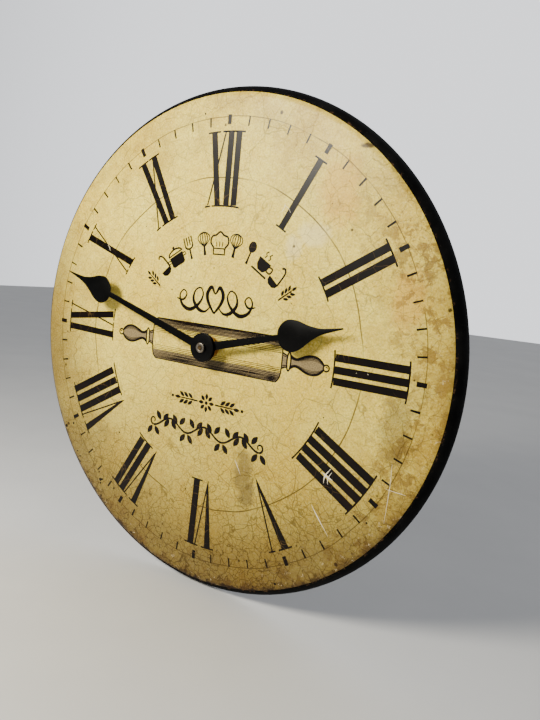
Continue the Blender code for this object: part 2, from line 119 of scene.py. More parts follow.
class ClockSizes(bpy.types.PropertyGroup):
    numeral_inner: length("Numeral inner radius", "Where the feet of the numerals stand", 93.2)
    numeral_outer: length("Numeral outer radius", "Where the tops of the numerals end", 140.3)
    hair_width: length("Hairline width", "Width of a numeral's thin strokes and serifs", 1.1)
    tick_inner: length("Minute mark start", "Inner radius of the minute marks", 143.9)
    tick_outer: length("Minute mark end", "Outer radius of the minute marks", 149.8)
    ink_height: length("Ink height", "How far the ink stands proud of the sheet", 0.03)
    pin_half_length: length("Rolling pin half length", "Half the length of the engraved pin's body",
                            54.0)
    boldness: FloatProperty(
        name="Boldness", description="How wide the numerals' thick strokes are, as a factor",
        default=1.0, min=0.2, max=1.4)
    round_steps: IntProperty(
        name="Round steps", description="Segments round the board and the sheet",
        default=256, min=64, max=512)


class ClockColours(bpy.types.PropertyGroup):
    paper_light: colour("Paper, light", "Cleanest part of the aged sheet", 243, 222, 100)
    paper_warm: colour("Paper, warm", "Yellowed part of the sheet", 230, 200, 74)
    # This colour also paints the shade that darkens the sheet towards the bottom.
    paper_stain_and_shade: colour("Stain", "Brown stains and the grime near the edge", 98, 62, 32)
    crack: colour("Crack", "Dirt in the cracks of the varnish", 52, 34, 16)
    ink: colour("Ink", "Printed black of the dial", 16, 11, 9)
    board_black: colour("Board black", "Satin paint on the board's edge and back", 14, 14, 14)
    hand_black: colour("Hand black", "Lacquer on the hands", 5, 5, 5)


class ClockStage(bpy.types.PropertyGroup):
    key_power: number("Key light", "Power of the soft lamp in front, up and to the left", 8.6, 'POWER')
    side_power: number("Side light", "Power of the cool light on the right", 0.8, 'POWER')
    room_light: number("Room light", "Strength of the pale room behind the clock", 1.5)
    front_light: number("Front light", "Strength of the dim room in front of the clock", 0.14)


def sizes():
    return bpy.context.scene.clock_sizes


def colours():
    return bpy.context.scene.clock_colours


def stage_settings():
    return bpy.context.scene.clock_stage


# Shader recipes.

class Wire:
    """An output socket that can be added, multiplied and so on."""

    def __init__(self, recipe, socket):
        self.recipe = recipe
        self.socket = socket

    def maths(self, operation, first, second):
        return self.recipe.add('ShaderNodeMath', {"operation": operation}, {0: first, 1: second})

    def __add__(self, other):
        return self.maths('ADD', self, other)

    def __radd__(self, other):
        return self.maths('ADD', other, self)

    def __sub__(self, other):
        return self.maths('SUBTRACT', self, other)

    def __rsub__(self, other):
        return self.maths('SUBTRACT', other, self)

    def __mul__(self, other):
        return self.maths('MULTIPLY', self, other)

    def __rmul__(self, other):
        return self.maths('MULTIPLY', other, self)

    def __truediv__(self, other):
        return self.maths('DIVIDE', self, other)

    def __pow__(self, other):
        return self.maths('POWER', self, other)

    def __abs__(self):
        return self.maths('ABSOLUTE', self, 0.0)

    def most(self, other):
        return self.maths('MAXIMUM', self, other)

    def rise(self, low, high):
        """0 below low, 1 above high, smooth between."""
        return self.recipe.add(
            'ShaderNodeMapRange', {"interpolation_type": 'SMOOTHSTEP'},
            {"Value": self, "From Min": low, "From Max": high, "To Min": 0.0, "To Max": 1.0})

    def fall(self, low, high):
        return 1.0 - self.rise(low, high)


def distance(across, along):
    """How far a place is from the hand axis, or from any other centre."""
    return (across * across + along * along) ** 0.5


class Recipe:
    """A material whose shader is built from named finishes and wired patterns."""

    def __init__(self, name, **finish):
        self.material = bpy.data.materials.new(name)
        self.material.use_nodes = True
        self.nodes = self.material.node_tree.nodes
        self.links = self.material.node_tree.links
        self.shader = self.nodes["Principled BSDF"]
        for key, value in finish.items():
            self.give(key.replace("_", " ").title().replace("Ior", "IOR"), value)

    def give(self, name, value):
        self.feed(self.shader.inputs[name], value)

    def feed(self, socket, value):
        if isinstance(value, Wire):
            self.links.new(value.socket, socket)
        elif socket.type == 'RGBA' and len(value) == 3:
            socket.default_value = (*value, 1.0)
        else:
            socket.default_value = value

    def add(self, kind, settings=None, values=None, output=0):
        """A node of this kind: its settings first, then the values or links of its sockets."""
        node = self.nodes.new(kind)
        for key, value in (settings or {}).items():
            setattr(node, key, value)
        for key, value in (values or {}).items():
            self.feed(node.inputs[key], value)
        return Wire(self, node.outputs[output])

    def vector(self, operation, first, second=None, scale=None):
        values = {0: first}
        if second is not None:
            values[1] = second
        if scale is not None:
            values["Scale"] = scale
        return self.add('ShaderNodeVectorMath', {"operation": operation}, values)

    def blend(self, mask, first, second, mode='MIX'):
        """first where the mask is 0 and second where it is 1."""
        return self.add('ShaderNodeMix', {"data_type": 'RGBA', "blend_type": mode},
                        {0: mask, 6: first, 7: second}, 2)

    def noise(self, place, size, detail=2.0, rough=0.5, bend=0.0, output=0):
        """Cloudy values round 0.5, with blots about as wide as size."""
        return self.add('ShaderNodeTexNoise', {"noise_dimensions": '3D'},
                        {"Vector": place, "Scale": 1.0 / size, "Detail": detail,
                         "Roughness": rough, "Distortion": bend}, output)

    def cells(self, place, size, feature='DISTANCE_TO_EDGE', output="Distance"):
        return self.add('ShaderNodeTexVoronoi', {"feature": feature},
                        {"Vector": place, "Scale": 1.0 / size}, output)

    def bump(self, height, depth, strength=1.0):
        self.give("Normal", self.add('ShaderNodeBump', None,
                                     {"Strength": strength, "Distance": depth, "Height": height}))

    def millimetres(self):
        """The point on the object in face coordinates, in millimetres: x, up and out."""
        here = self.add('ShaderNodeTexCoord', output="Object")
        scaled = self.vector('SCALE', here, scale=1.0 / MM)
        parts = [self.add('ShaderNodeSeparateXYZ', None, {0: scaled}, axis) for axis in (0, 2, 1)]
        return parts[0], parts[1], 0.0 - parts[2]

    def point(self, x, y, z=0.0):
        return self.add('ShaderNodeCombineXYZ', None, {0: x, 1: y, 2: z})

    def here(self):
        """x, up and out as for millimetres, and the point that they make."""
        x, up, out = self.millimetres()
        return x, up, out, self.point(x, up, out)


# Single marks on the sheet, and a painted highlight: x, up, width, height and, where it isn't 6, the
# size of their ragged edge.
STREAK = ((35.0, -78.0, 9.0, 18.0, 7.0), (39.0, -92.0, 8.0, 13.0, 5.0))
DARK_PATCHES = ((136.0, -30.0, 12.0, 26.0, 4.0), (-98.0, -80.0, 15.0, 9.0))
# Painted highlight: two pale patches where the lamp's sheen falls, up and to the right of the centre.
PAINTED_SHEEN_PATCHES = ((57.0, 70.0, 7.0, 9.0), (70.0, 78.0, 13.0, 9.0))
AMBER_STAINS = ((84.0, 104.0, 16.0, 24.0, 9.0), (134.0, 44.0, 12.0, 22.0, 7.0))
PEELS = ((57.0, 70.4, 1.1, 1.1, 2.0), (99.0, 129.5, 5.0, 1.8, 2.0))


class Sheet:
    """The wear of the printed sheet, which the ink on it shares, and the sheet's painted shade and
    highlight.
    """

    def __init__(self, recipe):
        self.recipe = recipe
        self.x, self.up = recipe.millimetres()[:2]
        self.down = 0.0 - self.up
        self.place = recipe.point(self.x, self.up)
        self.radius = distance(self.x, self.up)
        self.low = self.down.rise(-40.0, 150.0)
        self.rim = self.radius.rise(96.0, 166.0)

    def moved(self, shift):
        return self.recipe.vector('ADD', self.place, shift)

    def warped(self, size, amount, shift=(0.0, 0.0, 0.0)):
        """The place pushed about by up to amount, so that straight lines wander."""
        push = self.recipe.noise(self.moved(shift), size, 3.0, output=1)
        centred = self.recipe.vector('SUBTRACT', push, (0.5, 0.5, 0.5))
        return self.recipe.vector('ADD', self.moved(shift),
                                  self.recipe.vector('SCALE', centred, scale=amount))

    def cloud(self, shift, size, detail=2.0, rough=0.5):
        return self.recipe.noise(self.moved(shift), size, detail, rough)

    def torn(self, warp, shift, size, detail, rough):
        """A cloud on warped places. The warp is its size and its amount."""
        return self.recipe.noise(self.warped(*warp, shift), size, detail, rough)

    def crack_net(self, cell, width, shift, patch, cover):
        """Lines between cells, broken up where the patches say."""
        edge = self.recipe.cells(self.warped(cell * 0.7, cell * 0.4, shift), cell) * cell
        line = (edge / (0.4 + self.cloud(shift, cell * 0.35))).fall(width * 0.25, width)
        return line * self.cloud(shift, patch, 3.0).rise(1.0 - cover - 0.12, 1.0 - cover)

    def cracks(self):
        """Long hairlines, a net between them, and a fine net that is worst low down and right."""
        long = self.crack_net(27.0, 0.38, (31.0, 7.0, 3.0), 40.0, 0.46)
        net = self.crack_net(10.0, 0.28, (5.0, 90.0, 9.0), 26.0, 0.5)
        fine = self.crack_net(4.8, 0.24, (71.0, 13.0, 5.0), 24.0, 0.56)
        worse = 0.55 + 0.4 * self.low
        fine_wear = 0.15 + 0.6 * self.low + 0.15 * self.rim
        return (long * 0.8).most(net * 0.75).most(fine * fine_wear) * worse

    def crease(self, radius, wobble, width, size, shift, cover):
        """A ring that comes and goes round the dial."""
        drift = (self.cloud(shift, size) - 0.5) * wobble
        line = abs(self.radius - radius + drift).fall(width * 0.3, width)
        return line * self.cloud(shift, size * 1.3).rise(0.9 - cover, 1.05 - cover)

    def creases(self):
        middle = self.crease(111.5, 5.0, 0.6, 48.0, (3.0, 40.0, 2.0), 0.55)
        outer = self.crease(149.7, 2.0, 0.45, 36.0, (63.0, 4.0, 8.0), 0.58)
        return middle.most(outer * 0.85)

    def specks(self):
        """Small dark foxing spots, more of them towards the edge."""
        place = self.moved((17.0, 3.0, 1.0))
        cell = 7.0
        chance = self.recipe.add('ShaderNodeSeparateColor', None,
                                 {0: self.recipe.cells(place, cell, 'F1', "Color")})
        gap = self.recipe.cells(place, cell, 'F1') * cell
        size = chance.rise(0.76, 1.0) * (0.65 + 0.9 * self.rim)
        ragged = gap + (self.recipe.noise(place, 0.7) - 0.5) * 0.8
        return (ragged / (size + 0.02)).fall(0.55, 1.1)

    def grime_and_shade(self):
        """Brown dirt that creeps in from the edge, most of all below and on the right, and painted shade
        that browns the sheet more towards the bottom.
        """
        side = (self.x * 0.6 - self.up).rise(-90.0, 130.0)
        cloud = self.torn((12.0, 10.0), (40.0, 8.0, 3.0), 16.0, 5.0, 0.65)
        ragged = self.radius + (cloud - 0.5) * 90.0
        # Painted shade: a smooth darkening towards the bottom of the sheet, in the stain colour.
        dull = self.down.rise(-15.0, 150.0) * 0.85
        around = (ragged * 0.3 + self.radius * 0.7).rise(125.0, 176.0) * self.up.fall(20.0, 140.0)
        return (ragged.rise(118.0, 186.0) * (0.1 + 0.9 * side)).most(dull).most(around * 0.75)

    def chips(self):
        """Where the print has broken away from the edge."""
        weak = (self.down - self.x * 0.25).rise(70.0, 150.0)
        ragged = self.radius + (self.cloud((9.0, 9.0, 0.0), 7.0, 6.0, 0.68) - 0.5) * 26.0
        return (ragged + weak * 1.5).rise(165.0, 166.0) * weak

    def scuffs(self):
        """Pale rubs near the edge, low down and on the right."""
        cloud = self.torn((5.0, 4.0), (2.0, 77.0, 6.0), 5.0, 5.0, 0.7)
        place = self.radius.rise(150.0, 163.0) * (self.x * 0.5 - self.up).rise(20.0, 120.0)
        return cloud.rise(0.6, 0.66) * place

    def rust(self):
        """The red-brown band along the lower edge."""
        cloud = self.torn((7.0, 6.0), (90.0, 5.0, 2.0), 9.0, 6.0, 0.68)
        ragged = self.radius + (cloud - 0.5) * 30.0
        return ragged.rise(157.0, 168.0) * self.down.rise(40.0, 130.0)

    def painted_shade_and_marks(self):
        """Painted shade that greys the left edge and the foot of the sheet, and a few greyed marks: a
        smear and two dark patches.
        """
        cloud = self.cloud((3.0, 60.0, 20.0), 30.0, 4.0, 0.6)
        # Painted shade: the left edge and the foot are darkened where less light falls.
        left = (self.down - self.x * 0.55).rise(-30.0, 110.0)
        foot = self.down.rise(30.0, 120.0)
        marks = self.blots(STREAK).most(self.blots(DARK_PATCHES) * 0.7)
        return (self.radius.rise(88.0, 165.0) * left.most(foot) * (0.55 + 0.9 * cloud)).most(marks)

    def stains(self):
        """Large faint clouds, and smaller brown blotches that gather towards the edge."""
        cloud = self.torn((30.0, 26.0), (0.0, 0.0, 0.0), 34.0, 6.0, 0.66)
        wide = (cloud + self.rim * 0.2 + self.low * 0.08).rise(0.5, 0.84)
        blotch = self.torn((9.0, 7.0), (12.0, 55.0, 3.0), 12.0, 6.0, 0.68)
        spots = self.torn((4.0, 3.0), (52.0, 5.0, 13.0), 4.2, 5.0, 0.7)
        near = self.radius.rise(92.0, 158.0) * (self.x * 0.8 - self.up).rise(-120.0, 60.0)
        marks = (blotch + near * 0.09).rise(0.57, 0.66) * 0.85
        marks = marks.most((spots + near * 0.07).rise(0.6, 0.66) * 0.75)
        return (wide * 0.45).most(marks * near)

    def blot(self, x, up, wide, tall, ragged=6.0):
        """A single mark at one place."""
        push = (self.recipe.noise(self.place, ragged, 4.0, 0.6) - 0.5) * 1.2
        return (distance((self.x - x) / wide, (self.up - up) / tall) + push).fall(0.45, 1.15)

    def blots(self, marks):
        first, second = marks
        return self.blot(*first).most(self.blot(*second))

    def paper(self, cracks):
        """The sheet's colour, built up from the bare paper to the newest wear, with painted shade and a
        painted highlight among the layers.
        """
        shades = colours()
        recipe = self.recipe
        warm = self.torn((60.0, 40.0), (8.0, 1.0, 4.0), 60.0, 6.0, 0.66).rise(0.34, 0.66)
        mottle = recipe.noise(self.place, 6.0, 8.0, 0.78).rise(0.36, 0.66)
        grain = recipe.noise(self.place, 1.3, 4.0, 0.75)
        # Real stains and dirt, with the painted shade towards the bottom.
        stain_and_shade = self.stains().most(self.grime_and_shade() * 0.8)
        dirt = (cracks * 0.85).most(self.creases() * 0.85)
        paint = tuple(shades.paper_light)
        for mask, shade, mode in (
                (warm, tuple(shades.paper_warm), 'MIX'),
                (mottle * 0.36, linear(178, 140, 66), 'MIX'),
                (grain.rise(0.5, 0.68) * 0.5, linear(140, 106, 48), 'MIX'),
                (grain.fall(0.34, 0.5) * 0.4, linear(252, 240, 172), 'MIX'),
                # Painted highlight: the pale sheen up and to the right.
                (self.blots(PAINTED_SHEEN_PATCHES) * 0.35, linear(238, 226, 178), 'MIX'),
                (self.blots(AMBER_STAINS) * 0.4, linear(214, 150, 52), 'MIX'),
                (stain_and_shade * 0.85, tuple(shades.paper_stain_and_shade), 'MIX'),
                (self.rust() * 0.6, linear(84, 44, 24), 'MIX'),
                # Painted shade at the left edge and the foot, multiplied in with the greyed marks.
                (self.painted_shade_and_marks(), linear(182, 181, 210), 'MULTIPLY'),
                (self.scuffs() * 0.6, linear(226, 206, 158), 'MIX'),
                (dirt, tuple(shades.crack), 'MIX'),
                (self.specks() * 0.9, linear(48, 32, 18), 'MIX'),
                (self.blots(PEELS) * 0.9, linear(60, 48, 40), 'MIX'),
                (self.chips() * 0.9, linear(40, 26, 16), 'MIX')):
            paint = recipe.blend(mask, paint, shade, mode)
        return paint


def shade_sheet():
    recipe = Recipe("aged_sheet", specular_ior_level=0.14)
    sheet = Sheet(recipe)
    cracks = sheet.cracks()
    recipe.give("Base Color", sheet.paper(cracks))
    recipe.give("Roughness", 0.29 + 0.14 * recipe.noise(sheet.place, 24.0, 4.0) + 0.2 * cracks)
    swell = recipe.noise(sheet.place, 16.0, 3.0)
    recipe.bump(swell * 0.5 - cracks * 0.3 + recipe.noise(sheet.place, 1.2, 3.0) * 0.14,
                0.25 * MM, 0.6)
    return recipe.material


def shade_ink():
    """Black print, rubbed through to the sheet in small places."""
    recipe = Recipe("worn_ink", specular_ior_level=0.15)
    sheet = Sheet(recipe)
    grain = recipe.noise(sheet.place, 0.9, 3.0, 0.6)
    patch = recipe.noise(sheet.place, 11.0, 3.0)
    worn = (grain + patch * 0.6).rise(1.06, 1.16) * 0.6
    cracked = sheet.crack_net(11.5, 0.2, (5.0, 90.0, 9.0), 30.0, 0.4) * 0.3
    brown = recipe.noise(sheet.place, 20.0, 3.0).rise(0.45, 0.7) * 0.4
    ink = recipe.blend(brown, tuple(colours().ink), linear(30, 18, 12))
    recipe.give("Base Color", recipe.blend(worn.most(cracked), ink, linear(128, 100, 56)))
    recipe.give("Roughness", 0.28 + 0.1 * patch)
    recipe.bump(grain, 0.02 * MM, 0.3)
    return recipe.material


def shade_wash():
    """Half-strength ink, as in the shaded parts of an engraving."""
    recipe = Recipe("ink_wash", specular_ior_level=0.14)
    grain = recipe.noise(Sheet(recipe).place, 0.8, 3.0, 0.6)
    recipe.give("Base Color", recipe.blend(grain.rise(0.3, 0.7), linear(108, 94, 68),
                                           linear(150, 132, 94)))
    recipe.give("Roughness", 0.28 + 0.1 * grain)
    return recipe.material


def shade_board():
    """Satin black paint, rubbed brown on the edges, and lighter grey at the back as painted light,
    mottled by the roller.
    """
    recipe = Recipe("satin_black_paint", specular_ior_level=0.04)
    x, up, out, place = recipe.here()
    cloud = recipe.noise(place, 14.0, 4.0, 0.6)
    paint = recipe.blend(cloud.rise(0.35, 0.75) * 0.6, tuple(colours().board_black),
                         linear(30, 30, 30))
    rolled = recipe.noise(place, 2.2, 4.0, 0.6)
    # Painted light: the back is a lighter grey so that it reads as lit, mottled by the roller's texture.
    thin = recipe.blend((rolled * 0.5 + cloud * 0.5).rise(0.4, 0.62), linear(34, 34, 35),
                        linear(52, 51, 50))
    paint = recipe.blend(out.fall(11.1, 11.5), paint, thin)
    radius = distance(x, up)
    front_edge = radius.rise(164.6, 165.2) * radius.fall(165.4, 166.6) * out.rise(17.0, 19.0)
    back_edge = out.fall(11.2, 11.9) * radius.rise(169.0, 169.6)
    rub = recipe.noise(place, 3.0, 4.0, 0.7).rise(0.56, 0.66) * front_edge.most(back_edge)
    paint = recipe.blend(rub * 0.7, paint, linear(96, 72, 50))
    dust = recipe.noise(place, 0.8, 2.0).rise(0.68, 0.76) * 0.25
    recipe.give("Base Color", recipe.blend(dust, paint, linear(96, 92, 86)))
    recipe.give("Roughness", 0.62 + 0.18 * cloud)
    recipe.bump(rolled, 0.12 * MM, 0.6)
    return recipe.material


def shade_fibreboard():
    recipe = Recipe("raw_fibreboard", roughness=0.85)
    fibre = recipe.noise(recipe.here()[3], 0.6, 5.0, 0.7, 1.5)
    recipe.give("Base Color", recipe.blend(fibre, linear(112, 80, 50), linear(172, 134, 92)))
    recipe.bump(fibre, 0.1 * MM, 0.6)
    return recipe.material


def shade_lacquer():
    recipe = Recipe("hand_lacquer", specular_ior_level=0.1)
    place = recipe.here()[3]
    haze = recipe.noise(place, 9.0, 4.0, 0.6)
    coat = recipe.blend(haze.rise(0.4, 0.8) * 0.5, tuple(colours().hand_black), linear(16, 16, 17))
    dust = recipe.noise(place, 0.35, 1.0).rise(0.74, 0.8) * 0.4
    recipe.give("Base Color", recipe.blend(dust, coat, linear(96, 92, 86)))
    recipe.give("Roughness", 0.3 + 0.12 * haze)
    recipe.bump(recipe.noise(place, 0.5, 2.0), 0.01 * MM, 0.4)
    return recipe.material


# Metals as name, bright and dull colour, roughness, and whether they were turned on a lathe.
METALS = {
    "brass": ("turned_brass", (214, 176, 102), (168, 124, 62), 0.26, True),
    "aged_brass": ("aged_brass", (128, 108, 78), (78, 62, 42), 0.3, True),
    "nut": ("open_nut_plate", (150, 142, 130), (92, 84, 74), 0.24, True),
    "nickel": ("nickel_plate", (214, 213, 210), (170, 168, 164), 0.2, True),
    "lamination": ("lamination_steel", (150, 152, 156), (112, 114, 118), 0.4, False),
    "magnet": ("sintered_magnet", (84, 84, 88), (58, 58, 62), 0.5, False),
}


def shade_metal(name, bright, dull, roughness, on_lathe):
    """Plated or bare metal with faint scratches, or with turning rings round the hand axis."""
    recipe = Recipe(name, metallic=1.0, roughness=roughness)
    x, up, out, place = recipe.here()
    cloud = recipe.noise(place, 4.0, 4.0, 0.6)
    recipe.give("Base Color", recipe.blend(cloud.rise(0.3, 0.75), linear(*bright), linear(*dull)))
    recipe.give("Roughness", roughness + 0.18 * cloud)
    if on_lathe:
        rings = recipe.noise(recipe.point(distance(x, up) * 6.0, out * 6.0), 1.0, 2.0)
        recipe.bump(rings, 0.02 * MM, 0.5)
    else:
        lines = recipe.noise(recipe.point(x * 8.0, up * 0.6, out * 8.0), 1.0, 2.0)
        recipe.bump(lines, 0.01 * MM, 0.4)
    return recipe.material


# Plastics and the like as name, colour and tint, roughness, and the size of their grain.
PLASTICS = {
    "case": ("case_plastic", (30, 30, 32), (38, 38, 40), 0.42, 0.25),
    "natural": ("natural_acetal", (226, 223, 212), (216, 210, 194), 0.38, 0.5),
    "rubber": ("black_rubber", (24, 24, 24), (34, 33, 32), 0.8, 0.25),
    "label": ("label_paper", (222, 220, 212), (206, 203, 192), 0.55, 0.25),
    "scratch": ("bare_scratch", (236, 228, 204), (214, 200, 166), 0.6, 0.25),
}


def shade_plastic(name, main, tint, roughness, grain):
    """Moulded plastic with a spark-eroded grain."""
    recipe = Recipe(name, roughness=roughness)
    place = recipe.here()[3]
    cloud = recipe.noise(place, 12.0, 3.0)
    recipe.give("Base Color", recipe.blend(cloud.rise(0.3, 0.7), linear(*main), linear(*tint)))
    recipe.give("Roughness", roughness + 0.12 * recipe.noise(place, 1.0, 3.0))
    recipe.bump(recipe.noise(place, grain, 2.0), 0.02 * MM, 0.6)
    return recipe.material


def shade_circuit_board():
    """Green resist over copper tracks."""
    recipe = Recipe("circuit_board_resist", roughness=0.4)
    x, up = recipe.millimetres()[:2]
    track = abs(recipe.cells(recipe.point(x, up), 3.0) - 0.14).fall(0.04, 0.07)
    recipe.give("Base Color", recipe.blend(track, linear(22, 74, 44), linear(48, 116, 66)))
    recipe.bump(track, 0.03 * MM, 0.5)
    return recipe.material


def shade_winding():
    """Fine enamelled copper wire, wound round a horizontal core."""
    recipe = Recipe("copper_winding", metallic=1.0, roughness=0.35)
    x = recipe.millimetres()[0]
    turn = recipe.add('ShaderNodeMath', {"operation": 'SINE'}, {0: x * 42.0})
    recipe.give("Base Color", recipe.blend(turn.rise(-0.8, 0.8), linear(120, 56, 26),
                                           linear(214, 122, 66)))
    recipe.bump(turn, 0.03 * MM, 0.7)
    return recipe.material


BAND_EDGE = 12.0
CAP_EDGE = 24.05


def shade_cell():
    """Printed sleeve of a plain cell: a dark body with one coloured band, no lettering."""
    recipe = Recipe("cell_sleeve", metallic=0.35, roughness=0.32)
    x, up, out, place = recipe.here()
    band = x.rise(BAND_EDGE - 0.2, BAND_EDGE + 0.2)
    line = abs(x - BAND_EDGE).fall(0.35, 0.45)
    scuff = recipe.noise(place, 1.4, 4.0, 0.7).rise(0.6, 0.72) * 0.25
    bare_metal = abs(x).rise(CAP_EDGE, CAP_EDGE + 0.05)
    sleeve = linear(30, 36, 46)
    for mask, shade in ((band, linear(176, 92, 36)), (line, linear(210, 205, 190)),
                        (scuff, linear(150, 150, 150)), (bare_metal, linear(190, 190, 188))):
        sleeve = recipe.blend(mask, sleeve, shade)
    recipe.give("Base Color", sleeve)
    recipe.give("Roughness", 0.28 + 0.2 * recipe.noise(place, 3.0, 3.0))
    return recipe.material


def shade_stage():
    recipe = Recipe("stage_paint", roughness=0.85)
    place = recipe.add('ShaderNodeTexCoord', output="Object")
    cloud = recipe.noise(place, 0.12, 4.0, 0.6)
    recipe.give("Base Color", recipe.blend(cloud, linear(196, 196, 196), linear(212, 212, 211)))
    return recipe.material


PAINTERS = {
    "sheet": shade_sheet,
    "ink": shade_ink,
    "wash": shade_wash,
    "board": shade_board,
    "fibreboard": shade_fibreboard,
    "lacquer": shade_lacquer,
    "resist": shade_circuit_board,
    "winding": shade_winding,
    "cell": shade_cell,
    "stage": shade_stage,
}
MADE = {}


def finish_of(name):
    """The material of a finish, made the first time that it is asked for."""
    if name not in MADE:
        if name in METALS:
            MADE[name] = shade_metal(*METALS[name])
        elif name in PLASTICS:
            MADE[name] = shade_plastic(*PLASTICS[name])
        else:
            MADE[name] = PAINTERS[name]()
    return MADE[name]


# Modelling tools.

def pick(*pieces):
    """Select these pieces and nothing else."""
    bpy.ops.object.select_all(action='DESELECT')
    for piece in pieces:
        piece.select_set(True)
    bpy.context.view_layer.objects.active = pieces[0]


def apply_place(piece):
    pick(piece)
    bpy.ops.object.transform_apply(location=True, rotation=True, scale=True)


def hang(piece, name, finish, body, nodes=()):
    """Turn a flat-lying piece upright and let it ride on its body."""
    apply_place(piece)
    piece.rotation_euler = (math.radians(90.0), 0.0, 0.0)
    apply_place(piece)
    piece.name = name
    piece.data.name = name
    if not piece.data.materials:
        piece.data.materials.append(finish_of(finish))
    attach(piece, body)
    if nodes:
        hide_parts(*nodes)
    return piece


def hang_print(piece, name, finish="ink"):
    """Let a flat-lying piece of the dial's print ride on the board."""
    return hang(piece, name, finish, "body")


def apply_modifier(piece, kind, **settings):
    modifier = piece.modifiers.new(kind.lower(), kind)
    for key, value in settings.items():
        setattr(modifier, key, value)
    pick(piece)
    bpy.ops.object.modifier_apply(modifier=modifier.name)


def soften(piece, width, segments):
    """Round every edge of a thin plate that turns by more than 60 degrees."""
    apply_modifier(piece, 'BEVEL', width=width * MM, segments=segments, limit_method='ANGLE',
                   angle_limit=math.radians(60.0))


def cut(piece, tool, operation='DIFFERENCE'):
    """Cut the tool from the piece, or join it on, and remove the tool."""
    apply_modifier(piece, 'BOOLEAN', operation=operation, solver='EXACT', object=tool)
    bpy.data.objects.remove(tool)


def cylinder(radius, back, front, place=(0.0, 0.0), steps=64):
    """A closed cylinder along z, in millimetres."""
    bpy.ops.mesh.primitive_cylinder_add(
        vertices=steps, radius=radius * MM, depth=(front - back) * MM,
        location=(place[0] * MM, place[1] * MM, (front + back) / 2 * MM))
    piece = bpy.context.object
    apply_place(piece)
    return piece


def block(low, high):
    """A box between two corners, in millimetres."""
    low = Vector(low) * MM
    high = Vector(high) * MM
    bpy.ops.mesh.primitive_cube_add(size=1.0, location=(low + high) / 2, scale=high - low)
    piece = bpy.context.object
    apply_place(piece)
    return piece


def bevel_edges(piece, wanted, width, segments):
    """Round the edges whose two ends pass the test."""
    pick(piece)
    bpy.ops.object.mode_set(mode='EDIT')
    bpy.ops.mesh.select_mode(type='EDGE')
    bpy.ops.mesh.select_all(action='DESELECT')
    bpy.ops.object.mode_set(mode='OBJECT')
    points = piece.data.vertices
    for line in piece.data.edges:
        first, second = (points[index].co / MM for index in line.vertices)
        line.select = wanted(first, second)
    bpy.ops.object.mode_set(mode='EDIT')
    bpy.ops.mesh.bevel(offset=width * MM, segments=segments, affect='EDGES')
    bpy.ops.object.mode_set(mode='OBJECT')


def is_upright(first, second):
    return (first - second).xy.length < 0.001


def bevel_rims(piece, levels, width, segments, inner=0.0, outer=1e9):
    """Round the edge loops that lie at these heights, between two radii."""
    def on_rim(first, second):
        for level in levels:
            if abs(first.z - level) < 0.001 and abs(second.z - level) < 0.001:
                return all(inner < math.hypot(point.x, point.y) < outer
                           for point in (first, second))
        return False
    bevel_edges(piece, on_rim, width, segments)


def edit_all(piece, operation, **settings):
    """Run one of the mesh operators on the whole of a piece."""
    pick(piece)
    bpy.ops.object.mode_set(mode='EDIT')
    bpy.ops.mesh.select_all(action='SELECT')
    operation(**settings)
    bpy.ops.object.mode_set(mode='OBJECT')


def weld(piece):
    edit_all(piece, bpy.ops.mesh.remove_doubles, threshold=1e-6)


def smooth(piece, angle=32.0):
    pick(piece)
    bpy.ops.object.shade_smooth_by_angle(angle=math.radians(angle))


# Flat drawings, in millimetres of face coordinates.

def polar(radius, degrees):
    """A point at a clockwise angle from twelve o'clock."""
    angle = math.radians(degrees)
    return Vector((radius * math.sin(angle), radius * math.cos(angle)))


def arc(radius, start, end, steps, centre=(0.0, 0.0)):
    """Points on a circle, by clockwise angles from twelve."""
    turn = (end - start) / steps
    return [Vector(centre) + polar(radius, start + index * turn) for index in range(steps + 1)]


def turned(points, degrees, centre=(0.0, 0.0)):
    """Points turned clockwise about the origin, then moved."""
    spin = Matrix.Rotation(math.radians(-degrees), 2)
    return [spin @ Vector(point) + Vector(centre) for point in points]


def turned_strokes(strokes, degrees, centre=(0.0, 0.0)):
    """The same for strokes of x, y and width."""
    return [[(*turned([(x, y)], degrees, centre)[0], width) for x, y, width in stroke]
            for stroke in strokes]


def smooth_through(points, steps):
    """Points on a Catmull-Rom curve through the given ones, of any dimension."""
    padded = [points[0]] + list(points) + [points[-1]]
    result = [tuple(points[0])]
    for before, start, end, after in zip(padded, padded[1:], padded[2:], padded[3:]):
        for step in range(1, steps + 1):
            t = step / steps
            result.append(tuple(
                0.5 * (2 * b + (c - a) * t + (2 * a - 5 * b + 4 * c - d) * t * t
                       + (3 * b - a - 3 * c + d) * t ** 3)
                for a, b, c, d in zip(before, start, end, after)))
    return result


# Pieces made from lines: pen strokes, filled shapes and turned profiles.

def curve_point(x, y, z=0.0):
    return x * MM, y * MM, z * MM, 1.0


def new_curve(dimensions, lines):
    """A curve with a spline of straight steps through each list of points, in millimetres."""
    curve = bpy.data.curves.new("line", 'CURVE')
    curve.dimensions = dimensions
    for line in lines:
        spline = curve.splines.new('POLY')
        spline.points.add(len(line) - 1)
        for point, place in zip(spline.points, line):
            point.co = curve_point(*place)
    return curve


def as_mesh(curve):
    piece = bpy.data.objects.new("line", curve)
    bpy.context.collection.objects.link(piece)
    pick(piece)
    bpy.ops.object.convert(target='MESH')
    return bpy.context.object


